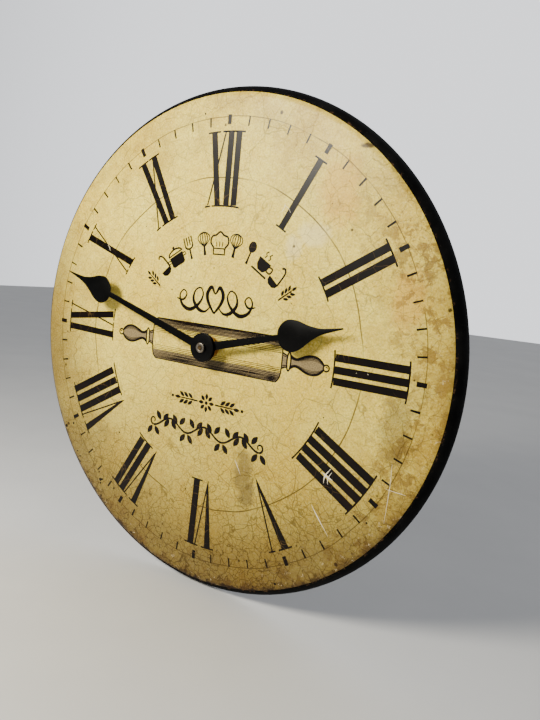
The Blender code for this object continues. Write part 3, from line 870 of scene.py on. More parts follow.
def pen_lines(strokes, height=0.05):
    """Each stroke is a list of (x, y, width). The pen's round line is pressed nearly flat."""
    curve = new_curve('3D', [[(x, y) for x, y, width in stroke] for stroke in strokes])
    curve.bevel_depth = 0.5 * MM
    curve.bevel_resolution = 1
    curve.use_fill_caps = True
    for spline, stroke in zip(curve.splines, strokes):
        for point, (x, y, width) in zip(spline.points, stroke):
            point.radius = width
    piece = as_mesh(curve)
    weld(piece)
    piece.scale = (1.0, 1.0, height)
    piece.location = (0.0, 0.0, (FACE + PEN_LIFT) * MM)
    apply_place(piece)
    smooth(piece, 60.0)
    return piece


def filled(outlines, back, front):
    """A plate with these edges. Outlines may not overlap; one inside another is a hole."""
    curve = new_curve('2D', outlines)
    curve.fill_mode = 'BOTH'
    curve.extrude = (front - back) / 2 * MM
    for spline in curve.splines:
        spline.use_cyclic_u = True
    piece = as_mesh(curve)
    weld(piece)
    piece.location = (0.0, 0.0, (front + back) / 2 * MM)
    apply_place(piece)
    return piece


def lathe(profile, steps, axis='Z'):
    """Turn a profile of (radius, out) points, or of (along, radius) points for the x axis."""
    flat = profile if axis == 'X' else [(radius, 0.0, out) for radius, out in profile]
    piece = as_mesh(new_curve('3D', [flat]))
    apply_modifier(piece, 'SCREW', axis=axis, steps=steps, render_steps=steps,
                   use_merge_vertices=True, merge_threshold=1e-6, use_smooth_shade=False)
    weld(piece)
    edit_all(piece, bpy.ops.mesh.normals_make_consistent, inside=False)
    return piece


def merged(pieces):
    """Several meshes joined into one object."""
    pick(*pieces)
    bpy.ops.object.join()
    return bpy.context.object


def ink_plate(outlines, lift=1.0):
    """Filled shapes of ink, standing a little proud of the sheet."""
    height = sizes().ink_height / MM * lift
    return filled(outlines, FACE - 0.05, FACE + height)


def ink_plates(outlines):
    """Shapes that may overlap: each is its own plate, a hair higher than the one before."""
    return [ink_plate([outline], 1.0 + 0.02 * (index % 12))
            for index, outline in enumerate(outlines)]


# Board and sheet.

# Segments round the front edge: under the sheet, and on the bare black paint.
PRINT_EDGE_STEPS = 6
BARE_EDGE_STEPS = 14


def edge_turn(radius):
    """How far round the front edge, in degrees, the surface has got at a radius."""
    return math.degrees(math.asin((radius - BOARD_RADIUS + EDGE_ROUNDING) / EDGE_ROUNDING))


def edge_arc(depth, start, end, steps):
    """Points round the front edge between two angles, at a depth below the surface."""
    reach = EDGE_ROUNDING - depth
    angles = [math.radians(start + (end - start) * step / steps) for step in range(steps + 1)]
    return [(BOARD_RADIUS - EDGE_ROUNDING + reach * math.sin(angle),
             FACE - EDGE_ROUNDING + reach * math.cos(angle)) for angle in angles]


class CLOCK_OT_board(bpy.types.Operator):
    """Make the round board with its rounded front edge, movement pocket and shaft hole"""
    bl_idname = "clock.board"
    bl_label = "Board"

    def execute(self, context):
        rim = edge_turn(PRINT_RADIUS + SHEET_GAP)
        recess = SHEET_THICKNESS + SHEET_GAP
        profile = [(0.0, FACE - recess)] + edge_arc(recess, 0.0, rim, PRINT_EDGE_STEPS)
        profile += edge_arc(0.0, rim, 90.0, BARE_EDGE_STEPS)
        profile += [(BOARD_RADIUS - BACK_CHAMFER, BOARD_BACK), (0.0, BOARD_BACK)]
        board = lathe(profile, sizes().round_steps)
        board.data.materials.append(finish_of("board"))
        board.data.materials.append(finish_of("fibreboard"))
        half = CASE_HALF + POCKET_PLAY
        pocket = block((-half, -half, BOARD_BACK - 2.0), (half, half, POCKET_FLOOR))
        bevel_edges(pocket, is_upright, POCKET_CORNER, 6)
        for tool in (pocket, cylinder(SHAFT_HOLE, BOARD_BACK - 1.0, FACE + 1.0, steps=48)):
            cut(board, tool)
        for face in board.data.polygons:
            centre = face.center / MM
            inside = max(abs(centre.x), abs(centre.y)) < half + 0.01
            if inside and BOARD_BACK + 0.01 < centre.z < POCKET_FLOOR + 0.1:
                face.material_index = 1
        smooth(board)
        hang(board, "painted_board", "board", "body", ["face_board"])
        return {'FINISHED'}


class CLOCK_OT_sheet(bpy.types.Operator):
    """Make the printed sheet that carries the dial art and turns down over the board's edge"""
    bl_idname = "clock.sheet"
    bl_label = "Printed sheet"

    def execute(self, context):
        edge = edge_turn(PRINT_RADIUS)
        front = [(SHAFT_HOLE, FACE)] + edge_arc(0.0, 0.0, edge, PRINT_EDGE_STEPS)
        back = edge_arc(SHEET_THICKNESS, 0.0, edge, PRINT_EDGE_STEPS)[::-1]
        back.append((SHAFT_HOLE, FACE - SHEET_THICKNESS))
        sheet = lathe(front + back + front[:1], sizes().round_steps)
        smooth(sheet)
        hang(sheet, "printed_sheet", "sheet", "body", ["dial_print"])
        return {'FINISHED'}


# Dial art.

# Each numeral as it stands at twelve: the width of its thick strokes, then its letters with
# the left edge of each one's top and how far its foot leans to the right, in millimetres.
NUMERALS = {
    1: (4.4, (("I", -2.6, 0.1),)),
    2: (5.0, (("I", -7.0, 0.7), ("I", 0.3, 0.7))),
    3: (4.7, (("I", -9.4, 0.0), ("I", -2.0, 0.0), ("I", 4.9, 0.0))),
    4: (5.3, (("I", -12.1, 0.0), ("I", -4.3, 0.0), ("I", 2.7, 0.0), ("I", 10.7, -0.9))),
    5: (5.6, (("V", -6.1, -0.7),)),
    6: (5.4, (("V", -13.8, -1.0), ("I", 1.2, -1.6))),
    7: (5.3, (("V", -13.3, 0.2), ("I", 1.5, -1.0), ("I", 8.5, -0.9))),
    8: (5.4, (("V", -14.9, 1.4), ("I", 0.7, -0.5), ("I", 9.1, -1.0), ("I", 17.0, -1.0))),
    9: (4.8, (("I", -5.2, -1.3), ("X", 2.8, -1.0))),
    10: (5.1, (("X", -6.7, 2.1),)),
    11: (4.7, (("X", -5.7, -4.6), ("I", 4.9, -2.1))),
    12: (4.6, (("X", -13.8, 0.0), ("I", 0.0, 0.0), ("I", 6.1, 0.0))),
}
# A V, from the left edge of its top: its foot, its hairline's top, and the point of its foot.
V_FOOT = 7.4
V_HAIR = 13.6
V_TIP = ((0.9, 3.0), (0.15, -1.2), (-0.15, -1.2))
# An X, from the same edge: how far its thick stroke leans, and the two ends of its hairline.
X_SLANT = 6.8
X_HAIR_TOP = 11.8
X_HAIR_FOOT = 1.1
# How far a serif goes past its stroke, at the top and at the foot.
SERIF = 2.7
FOOT_SERIF = SERIF * 0.8


class Numeral:
    """Collects the strokes of one numeral standing at twelve, then turns them to its hour."""

    def __init__(self, hour):
        self.hour = hour
        bar, self.letters = NUMERALS[hour]
        self.bar = bar * sizes().boldness
        self.hair = sizes().hair_width / MM
        self.inner = sizes().numeral_inner / MM
        self.outer = sizes().numeral_outer / MM
        self.plates = []
        self.lines = []

    def serif(self, radius, start, end):
        """A hairline along the circle, from one sideways place to another."""
        turn = math.degrees(1.0 / radius)
        self.lines.append([(x, y, self.hair) for x, y in arc(radius, start * turn, end * turn, 6)])

    def draw_bar(self, top, lean):
        foot = top + lean
        edge = self.hair * 0.3
        self.plates.append([(top, self.outer - edge), (top + self.bar, self.outer - edge),
                            (foot + self.bar, self.inner + edge), (foot, self.inner + edge)])
        self.serif(self.outer, top - SERIF, top + self.bar + SERIF)
        self.serif(self.inner, foot - FOOT_SERIF, foot + self.bar + FOOT_SERIF)

    def draw_hair(self, top, foot, high):
        self.lines.append([(top, self.outer, self.hair), (foot, high, self.hair)])
        self.serif(self.outer, top - SERIF, top + SERIF)

    def draw_v(self, left, lean):
        foot = left + V_FOOT + lean
        tip = [(foot + x, self.inner + y) for x, y in V_TIP]
        self.plates.append([(left, self.outer), (left + self.bar, self.outer)] + tip)
        self.draw_hair(left + V_HAIR, foot + 0.3, self.inner + 2.0)
        self.serif(self.outer, left - SERIF, left + self.bar + SERIF)

    def draw_x(self, left, lean):
        self.draw_bar(left, X_SLANT + lean)
        foot = left + X_HAIR_FOOT + lean
        self.draw_hair(left + X_HAIR_TOP, foot, self.inner)
        self.serif(self.inner, foot - FOOT_SERIF, foot + FOOT_SERIF)

    def draw(self):
        strokes = {"I": self.draw_bar, "V": self.draw_v, "X": self.draw_x}
        for letter, left, lean in self.letters:
            strokes[letter](left, lean)
        turn = self.hour * 30.0
        plates = [ink_plate([turned(outline, turn)]) for outline in self.plates]
        lines = pen_lines(turned_strokes(self.lines, turn))
        hang_print(merged(plates + [lines]), f"numeral_{self.hour:02d}")


class CLOCK_OT_numerals(bpy.types.Operator):
    """Print the twelve Roman numerals, feet towards the centre"""
    bl_idname = "clock.numerals"
    bl_label = "Numerals"

    def execute(self, context):
        for hour in NUMERALS:
            Numeral(hour).draw()
        return {'FINISHED'}


# Minute marks and hour blocks: half widths, how much longer a block is at each end, and how far
# the printing may be out.
TICK_HALF = 0.6
BLOCK_HALF = 1.45
BLOCK_INSET = 0.8
BLOCK_EXTRA = 1.0
PRINT_PLAY = 0.12


class CLOCK_OT_minute_track(bpy.types.Operator):
    """Print the minute marks and the hour blocks"""
    bl_idname = "clock.minute_track"
    bl_label = "Minute track"

    def execute(self, context):
        inner = sizes().tick_inner / MM
        outer = sizes().tick_outer / MM
        chance = random.Random(4)
        ticks = []
        blocks = []
        for minute in range(60):
            if minute % 5:
                half = TICK_HALF + chance.uniform(-0.06, 0.08)
                low, high = inner, outer
                group = ticks
            else:
                half = BLOCK_HALF
                low, high = inner + BLOCK_INSET, outer + BLOCK_EXTRA
                group = blocks
            wobble = [chance.uniform(-PRINT_PLAY, PRINT_PLAY) for corner in range(4)]
            outline = [(-half + wobble[0], low), (half + wobble[1], low),
                       (half + wobble[2], high), (-half + wobble[3], high)]
            group.append(turned(outline, minute * 6.0))
        hang_print(ink_plate(ticks), "minute_marks")
        hang_print(ink_plate(blocks), "hour_blocks")
        return {'FINISHED'}


# Rolling pin, drawn like an old engraving: places and half widths along one handle.
PIN_UP = -0.4
PIN_RADIUS = 14.4
PIN_SHIFT = 2.0
COLLAR = ((54.6, 5.0), (57.2, 3.9), (58.6, 3.8))
HANDLE = ((60.6, 4.4), (62.6, 3.0), (65.0, 2.5), (68.0, 3.5), (72.0, 5.2), (76.0, 5.9),
          (80.0, 5.2), (82.8, 3.3), (84.2, 1.5))
RING_AT = 59.6
RING_HALF = (1.4, 5.9)
BALL_AT = 86.0
BALL_RADIUS = 2.0
# Lines along a handle and its collar: each one's share of the half width, and its pen width.
HANDLE_LINES = ((1.0, 1.15), (0.84, 0.6), (0.7, 0.45), (0.56, 0.3))
COLLAR_LINES = ((1.0, 1.0), (0.7, 0.6))
# Where the body's hatching and its grey bands start, above and below the middle.
HATCH_FROM = ((1.0, 4.6), (-1.0, 5.0))
BAND_FROM = ((1.0, 8.6), (-1.0, 8.2))
# The hatching's pen width and spacing where it starts, and how they change out to the edge.
HATCH_WIDTH = 0.42
HATCH_SWELL = 0.46
HATCH_GAP = 1.15
HATCH_CROWD = 0.48
# The body's ends: how far they bulge, and the share by which they turn in at the corners.
END_BULGE = 0.6
END_TUCK = 0.055


class CLOCK_OT_rolling_pin(bpy.types.Operator):
    """Print the engraved rolling pin across the middle of the dial"""
    bl_idname = "clock.rolling_pin"
    bl_label = "Rolling pin"

    def place(self, points, side=1.0):
        return [(side * x + PIN_SHIFT, y + PIN_UP, width) for x, y, width in points]

    def flat(self, points, side=1.0):
        return [(side * x + PIN_SHIFT, y + PIN_UP) for x, y in points]

    def reach(self, y):
        """Half the body's length at one height: the ends bulge and turn in at the corners."""
        share = min(1.0, abs(y) / PIN_RADIUS)
        half = sizes().pin_half_length / MM
        return half * (1.0 - END_TUCK * share ** 6) + END_BULGE * (1.0 - share ** 2)

    def outline(self):
        heights = [PIN_RADIUS * math.sin(math.radians(angle)) for angle in range(-90, 91, 9)]
        strokes = []
        for side in (-1.0, 1.0):
            strokes.append(self.place([(side * self.reach(y), y, 0.95) for y in heights]))
        for y in (-PIN_RADIUS, PIN_RADIUS):
            end = self.reach(PIN_RADIUS)
            strokes.append(self.place([(-end, y, 0.8), (0.0, y, 1.1), (end, y, 0.8)]))
        return strokes

    def shading(self):
        """Long hatch lines, crowded and heavy towards the top and bottom of the body."""
        chance = random.Random(11)
        strokes = []
        for side, start in HATCH_FROM:
            y = start
            while y < PIN_RADIUS - 0.3:
                depth = (y - start) / (PIN_RADIUS - start)
                width = HATCH_WIDTH + HATCH_SWELL * depth
                end = self.reach(y)
                left = -end
                while left < end - 1.0:
                    right = min(end, left + chance.uniform(30.0, 90.0))
                    tilt = chance.uniform(-0.12, 0.12)
                    strokes.append(self.place([(left, side * y, width * 0.45),
                                               ((left + right) / 2, side * y + tilt, width),
                                               (right, side * y, width * 0.45)]))
                    left = right + chance.uniform(-14.0, 1.5)
                y += HATCH_GAP - HATCH_CROWD * depth
        return strokes

    def body_wash(self):
        """Grey bands under the crowded lines."""
        bands = []
        for side, inner in BAND_FROM:
            levels = [inner, (inner + PIN_RADIUS) / 2, PIN_RADIUS]
            right = [(self.reach(y) - 0.2, side * y) for y in levels]
            bands.append(self.flat(right + [(-x, y) for x, y in reversed(right)]))
        return bands

    def handle(self, side):
        strokes = []
        for edge in (1.0, -1.0):
            for profile, lines in ((smooth_through(HANDLE, 4), HANDLE_LINES), (COLLAR, COLLAR_LINES)):
                strokes += [[(x, edge * half * share, width) for x, half in profile]
                            for share, width in lines]
        strokes.append(self.oval(RING_AT, *RING_HALF, 1.1))
        strokes.append(self.oval(BALL_AT, BALL_RADIUS, BALL_RADIUS, 1.0))
        strokes.append([(BALL_AT - 0.4, 0.9, 0.8), (BALL_AT + 0.9, 0.2, 0.6)])
        return [self.place(stroke, side) for stroke in strokes]

    def handle_wash(self, side):
        washes = []
        for profile, inset in ((smooth_through(HANDLE, 4), 0.2), (COLLAR, 0.0)):
            outline = [(x, half - inset) for x, half in profile]
            washes.append(self.flat(outline + [(x, -y) for x, y in reversed(outline)], side))
        return washes

    def oval(self, x, wide, tall, width):
        turns = [index * math.pi / 12 for index in range(25)]
        return [(x + wide * math.cos(turn), tall * math.sin(turn), width) for turn in turns]

    def execute(self, context):
        hang_print(pen_lines(self.outline()), "pin_outline")
        hang_print(pen_lines(self.shading()), "pin_shading")
        wash = self.body_wash()
        for side, name in ((-1.0, "pin_handle_left"), (1.0, "pin_handle_right")):
            hang_print(pen_lines(self.handle(side)), name)
            wash += self.handle_wash(side)
        hang_print(ink_plate(wash, 0.3), "pin_wash", "wash")
        return {'FINISHED'}


# Ornaments.

def leaf(tall, wide, turn, place):
    """A pointed leaf growing from its place, by clockwise turn from straight up."""
    side = [(wide * math.sin(math.pi * share) ** 0.8 * 0.5, tall * share)
            for share in [index / 8 for index in range(1, 8)]]
    outline = [(0.0, 0.0)] + [(-x, y) for x, y in side] + [(0.0, tall)] + side[::-1]
    return turned(outline, turn, place)


def disc(radius, place, steps=16):
    return arc(radius, 0.0, 360.0 - 360.0 / steps, steps - 1, place)


def scaled(points, size, width=None):
    """Points of a drawing one unit tall, at its real size, with a pen width if one is given."""
    if width is None:
        return [(x * size, y * size) for x, y in points]
    return [(x * size, y * size, width) for x, y in points]


def stem(height, top, width):
    """A tool's upright handle, thick at its foot."""
    return [(0.0, 0.0, 2.3), (0.0, height * 0.12, 1.4), (0.0, height * top, width)]


def wheat(height):
    """An ear of wheat: a stem with pairs of grains and one on top."""
    shapes = []
    for index in range(3):
        y = height * (0.22 + 0.19 * index)
        for side in (-1.0, 1.0):
            shapes.append(leaf(height * 0.27, height * 0.12, side * 38.0, (side * 0.9, y)))
    shapes.append(leaf(height * 0.27, height * 0.12, 0.0, (0.0, height * 0.75)))
    return shapes, [[(0.0, 0.0, 1.2), (0.0, height * 0.74, 0.8)]]


def spoon(height):
    bowl = [(height * 0.2 * math.sin(turn), height * (0.76 + 0.24 * math.cos(turn)))
            for turn in [index * math.pi / 12 for index in range(24)]]
    return [bowl], [stem(height, 0.58, 1.1)]


def ladle(height):
    bowl = scaled([(-0.3, 0.3), (-0.26, 0.12), (-0.12, 0.01), (0.12, 0.01), (0.26, 0.12),
                   (0.3, 0.3)], height)
    hook = scaled([(0.26, 0.28), (0.22, 0.62), (0.16, 0.88), (0.02, 1.0), (-0.08, 0.9)], height, 1.2)
    return [bowl], [smooth_through(hook, 4)]


def fork(height):
    lines = [scaled([(x, 0.62), (x, 1.0)], height, 1.0) for x in (-0.21, -0.07, 0.07, 0.21)]
    yoke = [(0.21 * math.cos(turn), 0.62 - 0.16 * math.sin(turn))
            for turn in [index * math.pi / 8 for index in range(9)]]
    lines.append(scaled(yoke, height, 1.3))
    return [], lines + [stem(height, 0.48, 1.3)]


def whisk(height):
    lines = [[(0.0, 0.0, 2.2), (0.0, height * 0.36, 1.6)]]
    for reach in (0.31, 0.19, 0.07):
        loop = [(0.0, 0.36), (reach, 0.68), (reach * 0.8, 0.9), (0.0, 1.0),
                (-reach * 0.8, 0.9), (-reach, 0.68), (0.0, 0.36)]
        lines.append(smooth_through(scaled(loop, height, 0.75), 4))
    return [], lines


def chef_hat(height):
    puff = [(-0.3, 0.3), (-0.47, 0.5), (-0.42, 0.76), (-0.2, 0.84), (0.0, 0.98), (0.2, 0.84),
            (0.42, 0.76), (0.47, 0.5), (0.3, 0.3)]
    band = [(-0.3, 0.3), (-0.3, 0.02), (0.3, 0.02), (0.3, 0.3)]
    lines = [smooth_through(scaled(puff, height, 1.3), 4), scaled(band, height, 1.3),
             scaled([(-0.3, 0.27), (0.3, 0.27)], height, 0.9)]
    for x in (-0.14, 0.0, 0.14):
        lines.append(scaled([(x, 0.34), (x * 1.2, 0.56)], height, 0.7))
    return [], lines


def pot(height):
    body = scaled([(-0.4, 0.52), (-0.38, 0.1), (-0.3, 0.02), (0.3, 0.02), (0.38, 0.1),
                   (0.4, 0.52)], height)
    lid = [(-0.4, 0.6), (-0.3, 0.72), (0.0, 0.79), (0.3, 0.72), (0.4, 0.6)]
    lines = [smooth_through(scaled(lid, height, 1.2), 3),
             scaled([(-0.44, 0.59), (0.44, 0.59)], height, 1.0)]
    for side in (-1.0, 1.0):
        grip = [(side * 0.4, 0.42), (side * 0.54, 0.42), (side * 0.54, 0.3), (side * 0.4, 0.3)]
        lines.append(scaled(grip, height, 0.9))
    return [body, disc(height * 0.07, (0.0, height * 0.87), 12)], lines


def cup(height):
    bowl = scaled([(-0.36, 0.62), (-0.31, 0.3), (-0.16, 0.12), (0.12, 0.12), (0.27, 0.3),
                   (0.32, 0.62)], height)
    handle = [(0.3, 0.52), (0.48, 0.52), (0.46, 0.3), (0.26, 0.28)]
    lines = [smooth_through(scaled(handle, height, 1.1), 4),
             scaled([(-0.46, 0.03), (0.42, 0.03)], height, 1.3)]
    for x in (-0.14, 0.08):
        steam = [(x, 0.7), (x + 0.06, 0.8), (x - 0.02, 0.88), (x + 0.04, 1.0)]
        lines.append(smooth_through(scaled(steam, height, 0.8), 3))
    return [bowl], lines


def daisy(height):
    centre = (0.0, height * 0.5)
    shapes = [leaf(height * 0.34, height * 0.19, turn, turned([(0.0, height * 0.17)], turn, centre)[0])
              for turn in range(0, 360, 45)]
    return shapes + [disc(height * 0.1, centre, 12)], []


def set_row(glyphs, name):
    """Glyphs as (drawing, turn, foot place), inked together as one piece."""
    shapes = []
    lines = []
    for (outlines, strokes), turn, place in glyphs:
        shapes += [turned(outline, turn, place) for outline in outlines]
        lines += turned_strokes(strokes, turn, place)
    hang_print(merged(ink_plates(shapes) + [pen_lines(lines)]), name)


# The arch: the radius of its feet, how tall each tool is, and the degrees from one to the next.
ARCH_RADIUS = 61.4
ARCH_HEIGHT = 15.4
ARCH_STEP = 10.7


class CLOCK_OT_arch(bpy.types.Operator):
    """Print the arch of kitchen tools and wheat above the centre"""
    bl_idname = "clock.arch"
    bl_label = "Arched ornament"

    def execute(self, context):
        drawings = (wheat, ladle, pot, fork, whisk, chef_hat, whisk, spoon, cup, ladle, wheat)
        middle = (len(drawings) - 1) / 2
        glyphs = []
        for index, drawing in enumerate(drawings):
            turn = ARCH_STEP * (index - middle)
            glyphs.append((drawing(ARCH_HEIGHT), turn, polar(ARCH_RADIUS, turn)))
        set_row(glyphs, "arch_ornament")
        return {'FINISHED'}


# One half of the flourish as x, y and pen width, from the heart outwards, and the heart.
SWASH = ((3.6, 26.4, 0.8), (8.0, 23.0, 1.6), (13.5, 24.2, 2.6), (18.2, 30.0, 2.2),
         (17.0, 36.4, 1.2), (12.6, 38.6, 1.1), (10.2, 34.2, 1.3), (13.2, 28.0, 2.0),
         (20.5, 23.2, 2.8), (27.6, 25.6, 2.2), (30.4, 32.0, 1.3), (27.4, 36.0, 1.0),
         (24.4, 33.2, 1.1), (27.4, 29.2, 1.6), (33.0, 30.0, 0.8))
HEART = ((0.0, 22.4, 1.4), (-5.2, 29.4, 2.4), (-6.6, 35.2, 2.8), (-3.4, 40.0, 2.4),
         (0.0, 35.6, 1.2), (3.4, 40.0, 2.4), (6.6, 35.2, 2.8), (5.2, 29.4, 2.4),
         (0.0, 22.4, 1.4))


class CLOCK_OT_flourish(bpy.types.Operator):
    """Print the pen flourish between the arch and the rolling pin"""
    bl_idname = "clock.flourish"
    bl_label = "Pen flourish"

    def execute(self, context):
        right = smooth_through(SWASH, 7)
        left = [(-x, y, width) for x, y, width in right]
        hang_print(pen_lines([right, left, smooth_through(HEART, 6)]), "pen_flourish")
        return {'FINISHED'}


# The two rows below the pin: their heights on the dial, and the vine's half length, rise and bends.
SHORT_ROW_UP = -38.7
LONG_ROW_UP = -59.5
VINE_HALF = 46.0
VINE_RISE = 3.6
VINE_BENDS = 13


def vine_height(x):
    return VINE_RISE * math.cos(x / VINE_HALF * math.pi * 3.0)


class CLOCK_OT_borders(bpy.types.Operator):
    """Print the two ornamental rows below the rolling pin"""
    bl_idname = "clock.borders"
    bl_label = "Lower borders"

    def short_row(self):
        """A daisy between two ears of wheat."""
        glyphs = [(daisy(13.0), 0.0, (0.0, SHORT_ROW_UP - 6.5))]
        for side in (-1.0, 1.0):
            glyphs.append((wheat(20.0), side * 90.0, (side * 7.6, SHORT_ROW_UP)))
            glyphs.append((([disc(1.1, (0.0, 0.0), 12)], []), 0.0, (side * 30.0, SHORT_ROW_UP)))
        set_row(glyphs, "short_border")

    def long_row(self):
        """A vine that waves along the row, with a leaf in every bend and a curl at each end."""
        steps = 96
        places = [VINE_HALF * (2.0 * index / steps - 1.0) for index in range(steps + 1)]
        lines = [[(x, vine_height(x), 1.5) for x in places]]
        shapes = []
        for index in range(VINE_BENDS):
            x = VINE_HALF * (2.0 * index / (VINE_BENDS - 1) - 1.0)
            up = 1.0 if index % 2 else -1.0
            for lean in (-34.0, 38.0):
                turn = lean if up > 0 else 180.0 - lean
                shapes.append(leaf(7.6, 3.9, turn, (x + lean * 0.03, vine_height(x) + up * 0.9)))
        for side in (-1.0, 1.0):
            curl = []
            for index in range(17):
                turn = index * 0.35
                close = 1.0 - turn / 9.0
                curl.append((side * (VINE_HALF + 0.2 + 3.0 * close * math.sin(turn)),
                             vine_height(VINE_HALF) + 3.2 - 3.2 * close * math.cos(turn),
                             1.6 - turn * 0.14))
            lines.append(curl)
        set_row([((shapes, lines), 0.0, (0.0, LONG_ROW_UP))], "long_border")

    def execute(self, context):
        self.short_row()
        self.long_row()
        return {'FINISHED'}


# Scratches through the print, as strokes of x, y and width.
SCRATCHES = (
    ((94.6, -71.0, 0.2), (95.0, -66.0, 0.9), (98.5, -60.5, 0.3)),
    ((93.4, -64.2, 0.3), (97.0, -66.2, 1.0), (100.5, -67.2, 0.2)),
    ((97.6, -72.0, 0.1), (97.2, -67.0, 0.6), (99.4, -62.6, 0.3)),
    ((88.0, -86.0, 0.1), (93.0, -92.5, 0.55), (101.5, -102.5, 0.15)),
    ((27.5, -71.5, 0.1), (30.0, -75.5, 0.4), (33.0, -80.5, 0.1)),
    ((134.5, -63.5, 0.1), (141.0, -63.8, 0.4), (147.0, -64.0, 0.1)),
    ((136.5, -48.0, 0.1), (136.8, -62.0, 0.35), (136.0, -84.0, 0.1)),
    ((114.6, 0.8, 0.1), (115.3, 0.5, 0.4), (115.9, 0.1, 0.1)),
    ((107.3, -0.6, 0.1), (108.0, 0.0, 0.35), (108.2, 0.8, 0.1)),
    ((45.0, 90.5, 0.1), (47.2, 92.8, 0.35), (47.8, 96.0, 0.1)),
    ((53.5, 88.0, 0.1), (51.0, 92.4, 0.35), (47.5, 95.0, 0.1)),
    ((-104.5, 62.5, 0.2), (-102.0, 60.0, 0.7), (-101.2, 57.5, 0.2)),
)

# Drops of ink on the print: place and radius.
SPOTS = ((-96.6, -118.2, 1.5), (-94.8, -117.6, 1.0), (-96.2, -120.8, 0.9), (-130.4, -80.4, 1.0),
         (-138.2, -84.0, 1.3), (-98.4, -112.4, 0.8), (-81.6, -121.2, 0.8), (-124.2, -101.6, 0.7),
         (-120.8, -105.0, 0.7), (11.2, 21.6, 0.6), (125.4, -86.8, 0.7), (68.0, -145.6, 0.9),
         (89.8, -30.4, 0.5), (-79.6, -76.8, 0.7), (-55.0, -96.0, 0.5), (-64.4, 99.2, 0.5),
         (-20.6, 152.0, 0.7), (-22.0, 45.5, 0.5), (58.0, 42.4, 0.6), (-12.0, -103.0, 0.6))


class CLOCK_OT_spots(bpy.types.Operator):
    """Spatter the print with small drops of ink"""
    bl_idname = "clock.spots"
    bl_label = "Ink spots"

    def execute(self, context):
        chance = random.Random(7)
        drops = []
        for x, y, radius in SPOTS:
            turns = [index * math.pi / 6 for index in range(12)]
            drops.append([(x + radius * chance.uniform(0.75, 1.15) * math.sin(turn),
                           y + radius * chance.uniform(0.75, 1.15) * math.cos(turn))
                          for turn in turns])
        hang_print(merged(ink_plates(drops)), "ink_spots")
        return {'FINISHED'}


class CLOCK_OT_scratches(bpy.types.Operator):
    """Scratch the print in a few places"""
    bl_idname = "clock.scratches"
    bl_label = "Scratches"

    def execute(self, context):
        strokes = [smooth_through(line, 4) for line in SCRATCHES]
        hang_print(pen_lines(strokes, 0.16), "scratches", "scratch")
        return {'FINISHED'}


# Hands, in millimetres along the hand and to its side.
HAND_HUB = 9.6
BLADE_AT_HUB = 2.8
SPADE = ((-9.2, 1.9), (-8.2, 4.9), (-6.0, 7.5), (-3.2, 9.3), (0.0, 10.0), (4.0, 9.3),
         (7.5, 7.9), (13.0, 4.9), (20.0, 2.2), (28.0, 1.1))
HAND_THICKNESS = 0.6
COLLET_RADIUS = 4.2

# Each hand: where its spade is widest, its tip, the tip's half width, its angle, its bore, and the
# body that turns it.
HANDS = {
    "hour_hand": (67.5, 103.3, 0.5, 75.8, 2.85, "hour_work"),
    "minute_hand": (101.5, 139.2, 0.25, 286.6, 1.65, "minute_work"),
}


class CLOCK_OT_hands(bpy.types.Operator):
    """Make the two lacquered spade hands, with rounded stamped edges"""
    bl_idname = "clock.hands"
    bl_label = "Hands"

    def outline(self, peak, tip, tip_width, angle):
        spade = [(peak + along, width) for along, width in SPADE] + [(tip, tip_width)]
        start = math.asin(BLADE_AT_HUB / HAND_HUB)
        side = [(HAND_HUB * math.cos(start), BLADE_AT_HUB)] + smooth_through(spade, 5)
        steps = 72
        sweep = (2.0 * math.pi - 2.0 * start) / steps
        hub = [(HAND_HUB * math.cos(start + index * sweep), HAND_HUB * math.sin(start + index * sweep))
               for index in range(1, steps)]
        along_hand = hub + [(x, -y) for x, y in side] + [(x, y) for x, y in reversed(side)]
        return turned([(y, x) for x, y in along_hand], angle)

    def hand(self, node, outline, bore, body):
        box = Box(node)
        back = box.front - HAND_THICKNESS
        beyond = box.front + 1.0
        hand = filled([outline], back, box.front)
        edit_all(hand, bpy.ops.mesh.dissolve_limited, angle_limit=math.radians(0.5))
        soften(hand, 0.2, 3)
        cut(hand, cylinder(bore, back - 1.0, beyond, steps=40))
        if node == "hour_hand":
            collet = cylinder(COLLET_RADIUS, box.back, back + 0.2, steps=48)
            cut(collet, cylinder(bore + 0.02, box.back - 1.0, beyond, steps=40))
            cut(hand, collet, 'UNION')
        smooth(hand, 40.0)
        hang(hand, f"{node}_lacquered", "lacquer", body, [node])

    def execute(self, context):
        for node, (widest, tip, tip_width, angle, bore, body) in HANDS.items():
            self.hand(node, self.outline(widest, tip, tip_width, angle), bore, body)
        return {'FINISHED'}


NUT_BORE = 1.65


class CLOCK_OT_hand_nut(bpy.types.Operator):
    """Make the round open nut that holds the minute hand"""
    bl_idname = "clock.hand_nut"
    bl_label = "Hand nut"

    def execute(self, context):
        box = Box("hand_nut")
        nut = cylinder(box.right, box.back, box.front, steps=96)
        bevel_rims(nut, [box.front], 0.45, 4)
        bevel_rims(nut, [box.back], 0.15, 2)
        cut(nut, cylinder(NUT_BORE, box.back - 1.0, box.front + 1.0, steps=48))
        bevel_rims(nut, [box.front], 0.25, 2, NUT_BORE - 0.05, NUT_BORE + 0.05)
        smooth(nut)
        hang(nut, "open_hand_nut", "nut", "minute_work", ["hand_nut"])
        return {'FINISHED'}


# Movement housing, in the places of the solids that it replaces.
COVER_FOOT = Box("movement_back_cover").foot
COVER_THICKNESS = Box("movement_back_cover").front
KNOB = Box("setting_knob")
KNOB_PLACE = ((KNOB.left + KNOB.right) / 2, (KNOB.foot + KNOB.top) / 2)
WALL = 1.2
CAVITY_HALF = CASE_HALF - WALL
PARTITION = (-12.4, -11.4)
BAY_FOOT = -27.2
BAY_FLOOR = 15.0
BUSH_HOLE = 4.1
CORNER = 2.2
